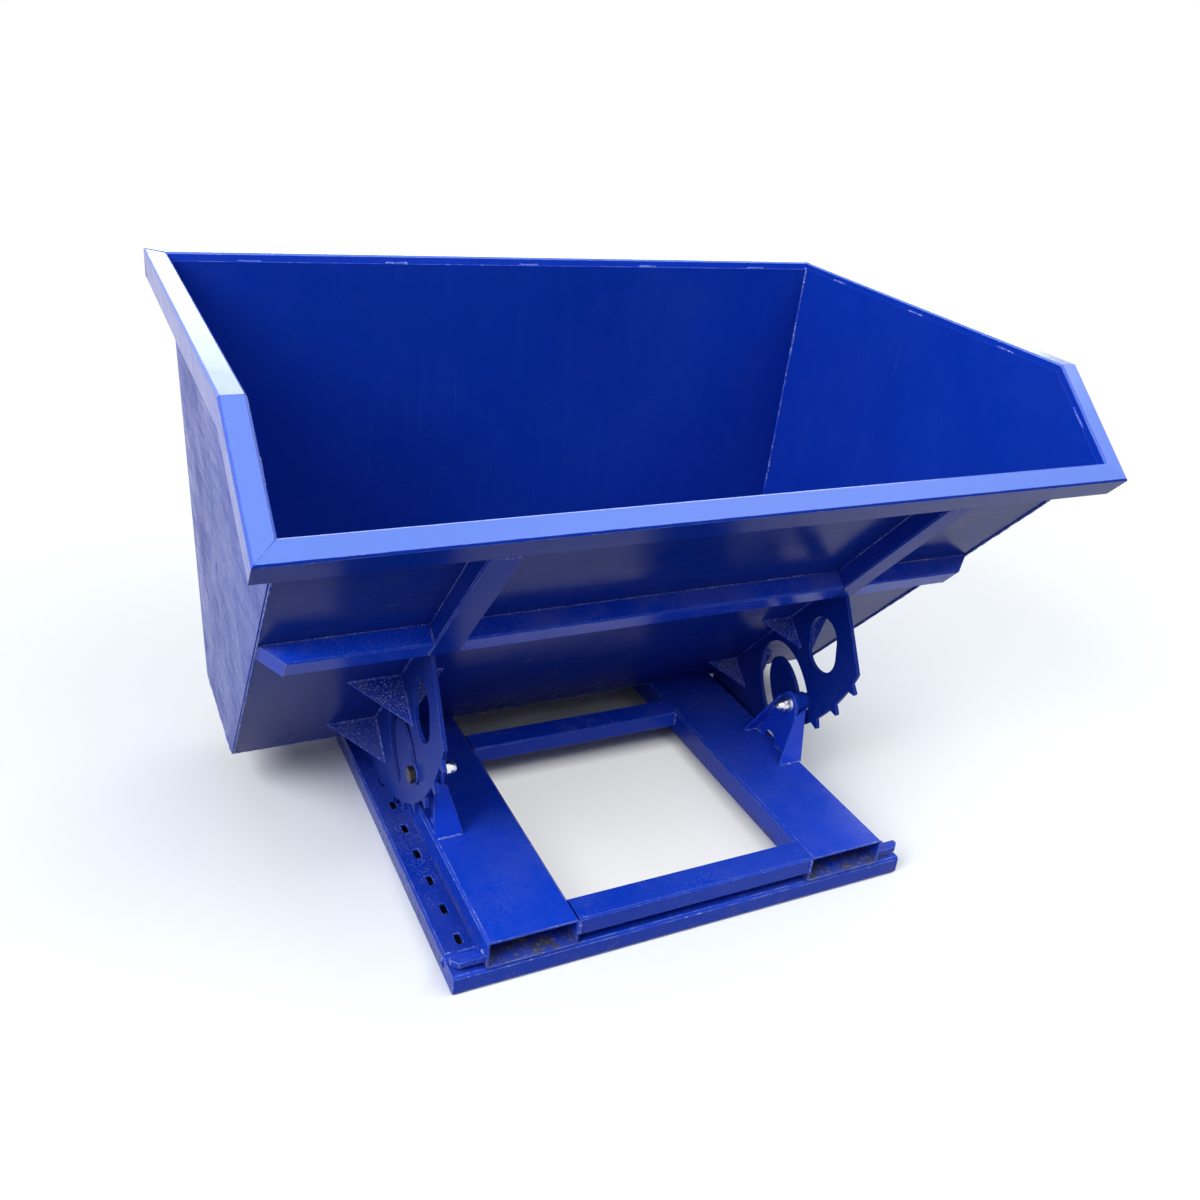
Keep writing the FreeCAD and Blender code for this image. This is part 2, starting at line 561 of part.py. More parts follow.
def wall_plug():
    """Right flush plug on the roll axis, a little thinner than the sheet."""
    outer_x = wall_x(ROLL_Z) - PLUG_RECESS
    inner_x = wall_x(ROLL_Z) - SHEET + PLUG_RECESS
    return rod(Vec(inner_x, ROLL_Y, ROLL_Z), ACROSS * (outer_x - inner_x), PLUG_RADIUS)


def lip_mitre():
    """The plane where the lip meets the right sloping rim: a place on it, and its normal to the right."""
    inner = Vec(wall_x(LIP_INNER.z), LIP_INNER.y, LIP_INNER.z)
    outer = Vec(wall_x(LIP_OUTER.z) + TUBE_WIDTH, LIP_OUTER.y, LIP_OUTER.z)
    normal = (outer - inner).cross(UPHILL)
    return inner, normal if normal.x > 0 else -normal


def back_mitre():
    """The plane where the back rim meets the right top rim."""
    inner = Vec(wall_x(RIM_BACK_Z), BACK_Y, RIM_BACK_Z)
    outer = inner + Vec(TUBE_WIDTH, TUBE_WIDTH, 0)
    normal = (outer - inner).cross(UP)
    return inner, normal if normal.x > 0 else -normal


def rim_lip():
    """Front rim tube, mitred at both ends."""
    reach = WALL_TOP_X + TUBE_WIDTH + OVERRUN
    corner = panel_point(PANEL_LENGTH, 0, -reach)
    lip = tube(corner, ACROSS * (2 * reach), OUTWARD * TUBE_WIDTH, UPHILL * -TUBE_DEPTH)
    return trim(mirrored(trim(lip, *lip_mitre())), *lip_mitre())


def rim_back():
    """Back rim tube, mitred at both ends."""
    reach = WALL_TOP_X + TUBE_WIDTH + OVERRUN
    corner = Vec(-reach, BACK_Y, RIM_BACK_Z)
    back = tube(corner, ACROSS * (2 * reach), Vec(0, TUBE_WIDTH, 0), UP * -TUBE_DEPTH)
    return trim(mirrored(trim(back, *back_mitre())), *back_mitre())


def knee_normal():
    """Normal of the mitre at the knee, pointing backwards."""
    return TOP_RUN - OUTWARD


def rim_slope():
    """Right sloping rim tube, from the lip to the knee."""
    corner = LIP_OUTER + ACROSS * WALL_FOOT_X + OUTWARD * OVERRUN
    along = OUTWARD * -(TUBE_WIDTH + KNEE_RUN + TUBE_DEPTH + OVERRUN)
    slope = tube(corner, along, ACROSS * TUBE_WIDTH, UPHILL * -TUBE_DEPTH)
    slope = flared(trim(slope, KNEE, knee_normal()))
    point, normal = lip_mitre()
    return trim(slope, point, -normal)


def rim_top():
    """Right top rim tube, from the knee to the back."""
    corner = KNEE + ACROSS * WALL_FOOT_X - TOP_RUN * TUBE_DEPTH
    along = TOP_RUN * ((BACK_TOP - KNEE).Length + TUBE_DEPTH + OVERRUN)
    top = tube(corner, along, ACROSS * TUBE_WIDTH, TOP_NORMAL * -TUBE_DEPTH)
    top = flared(trim(top, KNEE, -knee_normal()))
    point, normal = back_mitre()
    return trim(top, point, -normal)


def slope_tube(x0, x1):
    """A length of the stiffening beam across the front panel."""
    corner = panel_point(BEAM_TOP, 0, x0)
    return tube(corner, ACROSS * (x1 - x0), OUTWARD * TUBE_WIDTH, UPHILL * -TUBE_DEPTH)


def beam_end():
    """The bevelled right end of the beam: a place on it, and its normal outwards."""
    end_x = wall_x(panel_point(BEAM_TOP - TUBE_DEPTH).z) - BEAM_INSET
    return panel_point(BEAM_TOP, 0, end_x), ACROSS + OUTWARD


def beam_outer():
    """Right length of the beam, bevelled at its end to take the cap."""
    point, normal = beam_end()
    bevelled = trim(slope_tube(RIB_X + RIB_WIDTH / 2, WALL_TOP_X), point, normal)
    return trim(bevelled, point - Vec(normal).normalize() * CAP_PLATE, normal)


def beam_cap():
    """Plate that closes the bevelled right end of the beam."""
    point, normal = beam_end()
    corner = panel_point(BEAM_TOP, 0, RIB_X)
    solid = bar(corner, ACROSS * WALL_TOP_X, OUTWARD * TUBE_WIDTH, UPHILL * -TUBE_DEPTH)
    solid = trim(solid, point, normal)
    return trim(solid, point - Vec(normal).normalize() * CAP_PLATE, -normal)


def rib():
    """Right rib, up the front panel from the foot of the beam to the lip."""
    low = BEAM_TOP - TUBE_DEPTH
    corner = panel_point(low, 0, RIB_X - RIB_WIDTH / 2)
    along = UPHILL * (PANEL_LENGTH - TUBE_DEPTH - low)
    return tube(corner, along, ACROSS * RIB_WIDTH, OUTWARD * TUBE_WIDTH)


def catch():
    """Catch on the hopper's back: a pad with a pin that the hook goes over."""
    pad_z = LATCH_Z + LATCH_REACH
    half = CATCH_PAD / 2
    pad = block(-half, half, BACK_Y, BACK_Y + CATCH_PAD_PLATE, pad_z - half, pad_z + half)
    length = LATCH_STANDOFF + LATCH_PLATE + LATCH_PIN_HEAD_PLATE
    return pad.fuse(rod(Vec(0, BACK_Y, pad_z), Vec(0, length, 0), CATCH_DIAMETER / 2))


def handle_direction():
    """Way that the lever's handle points when the latch is closed."""
    rise = math.radians(LATCH_HANDLE_RISE_DEG)
    return Vec(-math.cos(rise), 0, math.sin(rise))


def opened(shape):
    """Swings a piece of the lever from closed to open, the way it stands at rest."""
    swung = shape.copy()
    swung.rotate(Vec(0, LATCH_Y, LATCH_Z), Vec(0, 1, 0), -LATCH_OPEN_DEG)
    return swung


def handle_bar(start, length, wide, thick):
    """A flat length of the closed handle, measured from the pivot."""
    out = handle_direction()
    side = Vec(-out.z, 0, out.x)
    pivot = Vec(0, LATCH_Y + (LATCH_PLATE - thick) / 2, LATCH_Z)
    return bar(pivot + out * start - side * (wide / 2), out * length, side * wide, Vec(0, thick, 0))


def latch_lever():
    """Hook, pivot eye and handle of the latch, cut from one plate."""
    pivot = Vec(0, LATCH_Y, LATCH_Z)
    thick = Vec(0, LATCH_PLATE, 0)
    reach = LATCH_REACH + LATCH_HOOK - LATCH_ARM_WIDTH / 2
    arm = bar(pivot - ACROSS * (LATCH_ARM_WIDTH / 2), UP * reach, ACROSS * LATCH_ARM_WIDTH, thick)
    head = rod(pivot + UP * reach, thick, LATCH_ARM_WIDTH / 2)
    handle = handle_bar(0, LATCH_HANDLE, LATCH_HANDLE_WIDTH, LATCH_PLATE)
    lever = arm.fuse([head, rod(pivot, thick, LATCH_EYE), handle])
    room = CATCH_DIAMETER / 2 + SLOT_CLEARANCE
    start = pivot - Vec(0, OVERRUN, 0)
    through = Vec(0, LATCH_PLATE + 2 * OVERRUN, 0)
    ring = rod(start, through, LATCH_REACH + room).cut(rod(start, through, LATCH_REACH - room))
    notch = trim(ring, pivot, -ACROSS).fuse(rod(start + UP * LATCH_REACH, through, room))
    bore = rod(start, through, LATCH_PIN_DIAMETER / 2 + RUNNING_FIT)
    return opened(lever.removeSplitter().cut([notch, bore]))


def latch_grip():
    """Round grip on the end of the lever's handle."""
    out = handle_direction()
    start = LATCH_HANDLE - LATCH_GRIP
    middle = Vec(0, LATCH_Y + LATCH_PLATE / 2, LATCH_Z)
    grip = rod(middle + out * start, out * (LATCH_GRIP + LATCH_PLATE), LATCH_GRIP_DIAMETER / 2)
    return opened(grip.cut(handle_bar(0, LATCH_HANDLE, LATCH_HANDLE_WIDTH, LATCH_PLATE)))


def latch_mounts():
    """Boss for the lever's pivot and peg that its handle rests on, both on the rear cross tube."""
    length = LATCH_Y - RUNNING_GAP - BASE_LENGTH
    boss = rod(Vec(0, BASE_LENGTH, LATCH_Z), Vec(0, length, 0), LATCH_BOSS / 2)
    bore_start, bore_run = Vec(0, BASE_LENGTH - OVERRUN, LATCH_Z), Vec(0, length + 2 * OVERRUN, 0)
    bore = rod(bore_start, bore_run, LATCH_PIN_DIAMETER / 2 + BOLT_FIT)
    rise = math.radians(LATCH_HANDLE_RISE_DEG - LATCH_OPEN_DEG)
    below = (LATCH_HANDLE_WIDTH + LATCH_PEG_DIAMETER) / 2 + RUNNING_GAP
    peg_x = -LATCH_PEG_OUT * math.cos(rise) - below * math.sin(rise)
    peg_z = LATCH_Z + LATCH_PEG_OUT * math.sin(rise) - below * math.cos(rise)
    peg_length = LATCH_Y + LATCH_PLATE - BASE_LENGTH
    peg = rod(Vec(peg_x, BASE_LENGTH, peg_z), Vec(0, peg_length, 0), LATCH_PEG_DIAMETER / 2)
    return group([boss.cut(bore), peg])


def latch_pin():
    """Pivot pin of the latch, with a round head behind the lever."""
    head_y = LATCH_Y + LATCH_PLATE + RUNNING_GAP
    head = rod(Vec(0, head_y, LATCH_Z), Vec(0, LATCH_PIN_HEAD_PLATE, 0), LATCH_PIN_HEAD / 2)
    return head.fuse(rod(Vec(0, BASE_LENGTH, LATCH_Z), Vec(0, head_y - BASE_LENGTH, 0), LATCH_PIN_DIAMETER / 2))


def pair(name, shape):
    """A right piece and its mirror image, as two nodes."""
    return {name + "_right": shape, name + "_left": mirrored(shape)}


def base_nodes():
    """Everything that stands still."""
    nodes = {"front_beam": end_beam(0, 1), "rear_beam": end_beam(BASE_LENGTH, -1)}
    nodes["front_cross_tube"] = cross_tube(0)
    nodes["middle_cross_tube"] = cross_tube(SECOND_TUBE_Y)
    nodes["rear_cross_tube"] = cross_tube(BASE_LENGTH - TUBE_DEPTH)
    nodes.update(pair("base_rail", base_rail()))
    nodes.update(pair("fork_pocket", fork_pocket()))
    nodes.update(pair("stop_bar", stop_bar()))
    nodes.update(pair("pin_bracket", pin_bracket()))
    ribs = [bracket_rib(PIN_Y - BRACKET_FRONT_FOOT, 1), bracket_rib(PIN_Y + BRACKET_REAR_FOOT, -1)]
    nodes.update(pair("bracket_ribs", group(ribs)))
    nodes.update(pair("pin_sleeve", pin_sleeve()))
    nodes.update(pair("pin_bolt", pin_bolt()))
    nodes.update(pair("pin_nut", pin_nut()))
    nodes.update(pair("pin_washer", pin_washer()))
    nodes["latch_mounts"] = latch_mounts()
    nodes["latch_pin"] = latch_pin()
    return nodes


def hopper_nodes():
    """Everything that tips."""
    nodes = {"front_panel": front_panel(), "floor_panel": floor_panel(), "back_panel": back_panel()}
    nodes.update(pair("side_wall", side_wall()))
    nodes["rim_lip"] = rim_lip()
    nodes["rim_back"] = rim_back()
    nodes.update(pair("rim_slope", rim_slope()))
    nodes.update(pair("rim_top", rim_top()))
    nodes["beam_middle"] = slope_tube(-RIB_X + RIB_WIDTH / 2, RIB_X - RIB_WIDTH / 2)
    nodes.update(pair("beam", beam_outer()))
    nodes["beam_caps"] = group([beam_cap(), mirrored(beam_cap())])
    nodes.update(pair("front_rib", rib()))
    nodes.update(pair("rocker", rocker()))
    nodes.update(pair("rocker_gussets", rocker_gussets()))
    nodes["latch_catch"] = catch()
    return nodes


def all_nodes():
    """Every node of the skip, in its own frame."""
    nodes = base_nodes()
    nodes.update(hopper_nodes())
    nodes["wall_plugs"] = group([wall_plug(), mirrored(wall_plug())])
    nodes["latch_lever"] = latch_lever()
    nodes["latch_grip"] = latch_grip()
    for shape in nodes.values():
        shape.translate(Vec(0, -MIDDLE_Y, 0))
    return nodes


def main():
    os.makedirs("parts", exist_ok=True)
    for name, shape in all_nodes().items():
        shape.exportStep("parts/" + name + ".step")
        state = "valid" if shape.isValid() else "INVALID"
        print(name, len(shape.Solids), "solids", round(shape.Volume), "mm3", state)


if __name__ == "__main__":
    main()
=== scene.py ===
import json
import math
from typing import NamedTuple

import bmesh
import bpy
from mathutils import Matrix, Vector, noise
from mathutils.bvhtree import BVHTree


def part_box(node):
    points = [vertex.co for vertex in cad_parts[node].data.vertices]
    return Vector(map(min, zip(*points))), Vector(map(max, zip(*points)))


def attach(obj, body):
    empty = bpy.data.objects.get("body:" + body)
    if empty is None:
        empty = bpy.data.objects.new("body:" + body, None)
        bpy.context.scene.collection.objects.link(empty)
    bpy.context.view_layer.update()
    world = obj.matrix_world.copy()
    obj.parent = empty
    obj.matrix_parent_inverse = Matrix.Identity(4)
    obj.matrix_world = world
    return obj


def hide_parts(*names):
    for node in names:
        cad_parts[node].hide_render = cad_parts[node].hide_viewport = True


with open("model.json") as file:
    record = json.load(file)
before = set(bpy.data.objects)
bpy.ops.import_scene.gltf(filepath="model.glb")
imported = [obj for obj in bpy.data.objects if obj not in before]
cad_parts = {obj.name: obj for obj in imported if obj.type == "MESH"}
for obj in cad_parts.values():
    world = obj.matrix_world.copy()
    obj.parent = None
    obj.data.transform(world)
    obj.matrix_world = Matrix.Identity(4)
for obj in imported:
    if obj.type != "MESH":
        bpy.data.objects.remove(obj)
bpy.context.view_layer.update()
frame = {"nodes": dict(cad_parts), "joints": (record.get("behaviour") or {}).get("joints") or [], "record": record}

# Looks of a roll-forward tipping skip: painted steel, welds, fasteners, studio and camera. Metres.

NODES = frame["nodes"]
SLOTS = {part["node"]: part["material_slot"] for part in frame["record"]["subparts"]}
JOINT_PLACES = {joint["name"]: joint.get("pos_m") for joint in frame["joints"]}
SIDES = ("_left", "_right")
CROSS_TUBES = ("front_cross_tube", "middle_cross_tube", "rear_cross_tube")


class Ramp(NamedTuple):
    """Leads from one share at a low value to another at a high value, and holds beyond them."""

    low: float
    high: float
    start: float = 0.0
    end: float = 1.0


class Grain(NamedTuple):
    """A noise in a finish, and the ramp that turns it into a share."""

    scale: float              # grains per metre
    ramp: Ramp = Ramp(0.0, 1.0)
    detail: float = 3.0
    roughness: float = 0.55
    stretch: tuple = ()       # more grains along X, Y and Z


class Lamp(NamedTuple):
    """A large even lamp; brightness is what a mirror would show of it."""

    place: tuple
    aim: tuple
    width: float
    height: float
    brightness: float


# Edges of the steel pieces
SAME_POINT = 0.00001
FLAT_ANGLE = math.radians(0.4)
SHARP_ANGLE = math.radians(32)
EDGE_ROUND = 0.0012
SHEET_EDGE_ROUND = 0.0007
PLUG_EDGE_ROUND = 0.0001
EDGE_STEPS = 2

# Weld beads
TOUCH = 0.0012                # how near an edge lies to the piece that it is welded to
SEAM_STEP = 0.006
SEAM_LEAST_STEPS = 2
LEAST_SEAM = 0.02
BEAD_RADIUS = 0.0036
BEAD_STEP = 0.0028
BEAD_LEAST_STEPS = 4
BEAD_SIDES = 8
BEAD_PITCH = 0.0085           # between the ripples
BEAD_RIPPLE_SHARE = 0.10
BEAD_RIPPLE_DRIFT = 3.0       # how far lumps push the ripples along, in radians
BEAD_LUMP_SHARE = 0.22
BEAD_LUMP_SCALE = 55.0
BEAD_WANDER = 0.0009
BEAD_SEED = 7                 # of the noise that the wander follows
BEAD_SINK = 0.0008            # how deep a bead reaches into the piece that it lies on
BEAD_END_SHARE = 0.06
STITCH_LENGTH = 0.05
STITCH_PITCH = 0.29
STITCH_RADIUS = 0.003

# Dome nuts; the shares are of half the width across the flats, where no comment says otherwise
NUT_ROUND_SIDES = 48
NUT_HEX_SIDES = 6
NUT_DOME_RINGS = 10
NUT_CHAMFER_SHARE = 0.10
NUT_SEAT_SHARE = 1.025
NUT_NECK_SHARE = 0.025
NUT_DOME_SHARE = 0.899
NUT_CAP_SHARE = 0.5           # of the nut's length
NUT_CAP_BLUNT = 0.72          # below 1, the cap is fuller than a ball

# The latch's grip
GRIP_SIDES = 32
GRIP_RIBS = 11
GRIP_RIB_STEPS = 6
GRIP_RIB_DEPTH = 0.0014
GRIP_END_RIBS = 2             # ribs that the round end takes up
GRIP_END_OPEN = 0.05
GRIP_END_ROUND = 0.85

# Colours
BLUE = (0.0055, 0.052, 0.56, 1)
BLUE_DEEP = (0.004, 0.040, 0.47, 1)
# paler blue: a painted highlight on up-facing tops high on the hopper
BLUE_PAINTED_HIGHLIGHT = (0.145, 0.235, 0.70, 1)
BLUE_PALE = (0.03, 0.11, 0.62, 1)
DUST = (0.34, 0.33, 0.32, 1)
CHALK = (0.12, 0.115, 0.105, 1)
DIRT = (0.075, 0.066, 0.045, 1)
DIRT_PALE = (0.26, 0.24, 0.18, 1)
CHIP = (0.20, 0.27, 0.60, 1)
GRIT = (0.44, 0.52, 0.80, 1)
BOLT_COLOURS = ((0.006, 0.006, 0.007, 1), (0.035, 0.033, 0.03, 1))
ZINC_COLOURS = ((0.84, 0.87, 0.90, 1), (0.70, 0.71, 0.72, 1))
RUBBER_COLOURS = ((0.008, 0.008, 0.009, 1), (0.05, 0.048, 0.045, 1))

# Enamel
SHADE = Grain(1.7, Ramp(0.3, 0.7), 4.0)
PALE_RUN = Grain(9.0, Ramp(0.52, 0.8, 0.0, 0.06), 5.0, 0.6, (6.0, 6.0, 0.5))
SHEEN = Grain(22.0, Ramp(0.3, 0.75), 6.0, 0.7)
SHEEN_SPREAD = 0.11
SWELL = Grain(3.3, detail=2.0, roughness=0.45)
SHEET_SWELL = 0.006           # depth of the relief
TUBE_SWELL = 0.002
PLATE_SWELL = 0.001
PEEL = Grain(420.0, detail=2.0)
PEEL_DEPTH = 0.00012
PEEL_STRENGTH = 0.6

# Wear of the enamel, and a painted highlight on the tops high on the hopper
SCUFF = Grain(13.0, Ramp(0.735, 0.77), 1.0, 0.5, (26.0, 26.0, 0.14))
SCUFF_PATCH = Grain(2.6, Ramp(0.50, 0.62))
FINE_SPECK = Grain(260.0, Ramp(0.16, 0.34, 0.8, 0.0))
COARSE_SPECK = Grain(105.0, Ramp(0.07, 0.18, 1.0, 0.0))
SPECK_DRIFT = Grain(9.0, Ramp(0.47, 0.67), 6.0, 0.65)
SPECK_SPREAD = 0.07           # how far the drifts spread with the amount of grit
SPECK_UPWARD = Ramp(-0.3, 0.4, 0.25, 1.0)
DUST_FILM = Grain(5.0, Ramp(0.42, 0.78), 8.0, 0.68)
DUST_UPWARD = Ramp(0.35, 1.0, 0.25, 1.0)
DUST_DULLING = 1.2
# painted highlight: how far a face must look up, and the height over which it fades in below the lip
PAINTED_HIGHLIGHT_UPWARD = Ramp(0.3, 0.7)
PAINTED_HIGHLIGHT_FADE = 0.05
BLOOM_BLOT = Grain(7.5, Ramp(0.42, 0.68), 7.0, 0.62)
BLOOM_STREAK = Grain(5.0, Ramp(0.46, 0.70), 4.0, 0.6, (3.0, 1.6, 22.0))
BLOOM_SHARE = 0.5             # that blots and streaks each give at most
BLOOM_SIDEWAYS = Ramp(0.5, 0.8, 0.35, 1.0)
OUTER_SIDE = Ramp(-0.02, 0.02)
CHALK_SHARE = 0.45
CHALK_DULLING = 0.24
EDGE_RUB = Grain(24.0, Ramp(0.44, 0.60, 0.05, 0.6), 5.0, 0.7)
EDGE_BARE = Grain(75.0, Ramp(0.60, 0.67, 0.0, 0.75), 4.0, 0.7)
EDGE_SHEEN = Grain(40.0, Ramp(0.3, 0.7, 0.2, 0.4), 4.0)
EDGE_SHINE = 0.2

# Dirt: how it thins out along the pockets and upwards
SOIL = Grain(120.0, Ramp(0.5, 0.66), 5.0, 0.7)
DIRT_DULLING = 0.5
POCKET_CLOD = Grain(26.0, Ramp(0.4, 0.62), 8.0, 0.7)
POCKET_MUD_RUN = Ramp(0.02, 0.45, 1.0, 0.15)
POCKET_MUD_HEIGHT = Ramp(0.052, 0.075, 1.0, 0.0)
RAIL_CLOD = Grain(17.0, Ramp(0.5, 0.75), 8.0, 0.72)
RAIL_MUD_HEIGHT = Ramp(0.0, 0.036, 0.55, 0.05)
HOPPER_CLOD = Grain(12.0, Ramp(0.45, 0.75), 8.0, 0.7)
HOPPER_DUST_HEIGHT = Ramp(0.10, 0.30, 0.30, 0.0)

# Welds, bolts, zinc and rubber
WELD_LUMP = Grain(160.0, Ramp(0.3, 0.75), 5.0, 0.65)
WELD_DEPTH = 0.0012
WELD_SHEEN = Ramp(0.3, 0.8, 0.22, 0.5)
WELD_CHIP = Grain(35.0, Ramp(0.46, 0.66, 0.0, 0.6), 6.0, 0.7)
SPATTER = Grain(210.0, Ramp(0.52, 0.62, 0.0, 0.85), 3.0, 0.6)
SPATTER_PATCH = Grain(16.0, Ramp(0.42, 0.56))
BOLT_BLOT = Grain(90.0, Ramp(0.35, 0.8), 5.0, 0.65)
BOLT_SHEEN = Ramp(0.3, 0.7, 0.28, 0.5)
BOLT_RELIEF = Grain(500.0)
BOLT_DEPTH = 0.00015
BOLT_SHINE = 0.5
ZINC_BLOOM = Grain(110.0, Ramp(0.35, 0.75), 5.0, 0.6)
ZINC_SHEEN = Ramp(0.3, 0.8, 0.24, 0.36)
ZINC_RELIEF = Grain(600.0, detail=2.0)
ZINC_DEPTH = 0.00003
RUBBER_BLOOM = Grain(60.0, Ramp(0.45, 0.8), 6.0, 0.7)
RUBBER_SHEEN = Ramp(0.3, 0.8, 0.55, 0.8)
RUBBER_RELIEF = Grain(900.0, detail=2.0)
RUBBER_DEPTH = 0.0002

# Camera of the photograph, measured from the front of the base
CAMERA_PLACE = Vector((-1.0216, -1.3534, 1.531))
CAMERA_TURN_DEG = (63.364, -5.542, -25.604)
CAMERA_LENS = 33.31
CAMERA_SENSOR = 36.0

# Studio
FLOOR_REACH = 6.0
FLOOR_SIDES = 64
FLOOR_CLEAR_SHARES = (0.30, 0.62)
FLOOR_WHITE = (0.98, 0.96, 0.945, 1)
FLOOR_BOUNCE = (0.30, 0.30, 0.30, 1)
FLOOR_ROUGHNESS = 0.9
FLOOR_GLOW_SHARE = 0.55       # white of its own in the base's opening, so that the shadow there stays light
FLOOR_GLOW_EDGE = 0.05
SKY_WHITE = (1.0, 1.0, 1.0, 1)
SKY_FILL = (0.92, 0.96, 1.0, 1)
SKY_FILL_STRENGTH = 0.26
SKY_LIGHT = (0.90, 0.96, 1.0)
LAMPS = {
    "front_sky": Lamp(place=(1.6, -1.6, 3.7), aim=(1.3, -1.2, 0), width=5.2, height=1.5, brightness=4.7),
    "left_sky": Lamp(place=(-4.2, -1.7, 4.2), aim=(0, -0.3, 0.5), width=3.0, height=3.0, brightness=10.0),
    "horizon": Lamp(place=(1.5, 4.2, 2.3), aim=(0.3, 0.3, 0.9), width=7.0, height=1.6, brightness=4.2),
}


class Finish:
    """A material in the making: short calls that add and link its nodes."""

    def __init__(self, name):
        self.material = bpy.data.materials.new(name)
        self.material.use_nodes = True
        self.tree = self.material.node_tree
        self.shader = self.tree.nodes["Principled BSDF"]
        self.place = self.add("ShaderNodeTexCoord").outputs["Object"]
        self.facing = self.place.node.outputs["Normal"]

    def add(self, kind, **values):
        """A new node with these settings."""
        made = self.tree.nodes.new(kind)
        for key, value in values.items():
            setattr(made, key, value)
        return made

    def link(self, source, target):
        """Joins an output to an input."""
        self.tree.links.new(source, target)

    def feed(self, socket, value):
        """Sets a socket to a plain value, or links it to another node's output."""
        if isinstance(value, bpy.types.NodeSocket):
            self.link(value, socket)
        else:
            socket.default_value = value

    def stretched(self, scale):
        """Object coordinates, scaled differently along each axis."""
        mapping = self.add("ShaderNodeMapping")
        mapping.inputs["Scale"].default_value = scale
        self.link(self.place, mapping.inputs["Vector"])
        return mapping.outputs["Vector"]

    def cloud(self, grain):
        """Noise from 0 to 1."""
        made = self.add("ShaderNodeTexNoise")
        made.inputs["Scale"].default_value = grain.scale
        made.inputs["Detail"].default_value = grain.detail
        made.inputs["Roughness"].default_value = grain.roughness
        where = self.stretched(grain.stretch) if grain.stretch else self.place
        self.link(where, made.inputs["Vector"])
        return made.outputs["Fac"]

    def cells(self, grain):
        """Distance from the middles of scattered cells."""
        made = self.add("ShaderNodeTexVoronoi")
        made.inputs["Scale"].default_value = grain.scale
        self.link(self.place, made.inputs["Vector"])
        return made.outputs["Distance"]

    def span(self, value, ramp):
        """A value led through a ramp."""
        made = self.add("ShaderNodeMapRange")
        for name, end in zip(("From Min", "From Max", "To Min", "To Max"), ramp):
            made.inputs[name].default_value = end
        self.link(value, made.inputs["Value"])
        return made.outputs["Result"]

    def patches(self, grain):
        """Noise led through its own ramp."""
        return self.span(self.cloud(grain), grain.ramp)

    def specks(self, grain):
        """Cells led through their own ramp."""
        return self.span(self.cells(grain), grain.ramp)

    def combined(self, kind, first, second):
        """Arithmetic on two values."""
        made = self.add("ShaderNodeMath", operation=kind)
        self.feed(made.inputs[0], first)
        self.feed(made.inputs[1], second)
        return made.outputs["Value"]

    def plus(self, first, second):
        """The sum of two values."""
        return self.combined("ADD", first, second)

    def times(self, first, *others):
        """The product of two or more values."""
        for other in others:
            first = self.combined("MULTIPLY", first, other)
        return first

    def axis(self, vector, letter):
        """One axis of a vector."""
        made = self.add("ShaderNodeSeparateXYZ")
        self.link(vector, made.inputs["Vector"])
        return made.outputs[letter]

    def upward(self, ramp):
        """A ramp on how far a face looks up."""
        return self.span(self.axis(self.facing, "Z"), ramp)

    def height(self, ramp):
        """A ramp on the height above the ground."""
        return self.span(self.axis(self.place, "Z"), ramp)

    def mixed(self, share, first, second):
        """Colour between two colours."""
        made = self.add("ShaderNodeMix", data_type="RGBA")
        colours = [socket for socket in made.inputs if socket.type == "RGBA"]
        self.feed(made.inputs[0], share)
        self.feed(colours[0], first)
        self.feed(colours[1], second)
        return next(socket for socket in made.outputs if socket.type == "RGBA")

    def blended(self, share, first, second):
        """Shader between two shaders."""
        made = self.add("ShaderNodeMixShader")
        for socket, value in zip(made.inputs, (share, first, second)):
            self.link(value, socket)
        return made.outputs["Shader"]

    def bumped(self, height, depth, strength=1.0, below=None):
        """Relief, on top of any other relief."""
        made = self.add("ShaderNodeBump")
        made.inputs["Distance"].default_value = depth
        made.inputs["Strength"].default_value = strength
        self.link(height, made.inputs["Height"])
        if below:
            self.link(below, made.inputs["Normal"])
        return made.outputs["Normal"]

    def surface(self, **values):
        """Feeds the shader's sockets; an underscore in a name stands for a space."""
        for name, value in values.items():
            self.feed(self.shader.inputs[name.replace("_", " ")], value)
        return self.material


def toned(colour, painted_light_tone):
    """A colour made lighter or darker, as painted light or shade."""
    return tuple(part * painted_light_tone for part in colour[:3]) + (1,)


def outer_side(finish):
    """1 on the faces that look away from the middle of the hopper, 0 on those inside it."""
    low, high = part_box("front_panel")
    middle = (low + high) / 2
    middle.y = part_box("back_panel")[0].y / 2
    away = finish.add("ShaderNodeVectorMath", operation="SUBTRACT")
    finish.link(finish.place, away.inputs[0])
    away.inputs[1].default_value = middle
    outward = finish.add("ShaderNodeVectorMath", operation="DOT_PRODUCT")
    finish.link(away.outputs["Vector"], outward.inputs[0])
    finish.link(finish.facing, outward.inputs[1])
    return finish.span(outward.outputs["Value"], OUTER_SIDE)


def scratched(finish, colour, amount):
    """Long thin scuffs that loads leave as they slide, mostly upright."""
    line = finish.times(finish.patches(SCUFF), finish.patches(SCUFF_PATCH), amount)
    return finish.mixed(line, colour, CHIP)


def gritty(finish, colour, amount):
    """Pale specks of grit and spatter, in drifts that spread as the amount grows."""
    ramp = SPECK_DRIFT.ramp
    spread = SPECK_SPREAD * amount
    drift = finish.span(finish.cloud(SPECK_DRIFT), Ramp(ramp.low - spread, ramp.high - spread))
    drift = finish.times(drift, finish.upward(SPECK_UPWARD))
    specks = finish.combined("MAXIMUM", finish.specks(FINE_SPECK), finish.specks(COARSE_SPECK))
    return finish.mixed(finish.times(specks, drift, amount), colour, GRIT)


def filmed(finish, dust):
    """Share of dust that lies on the paint, most on what faces up."""
    return finish.times(finish.patches(DUST_FILM), finish.upward(DUST_UPWARD), dust)


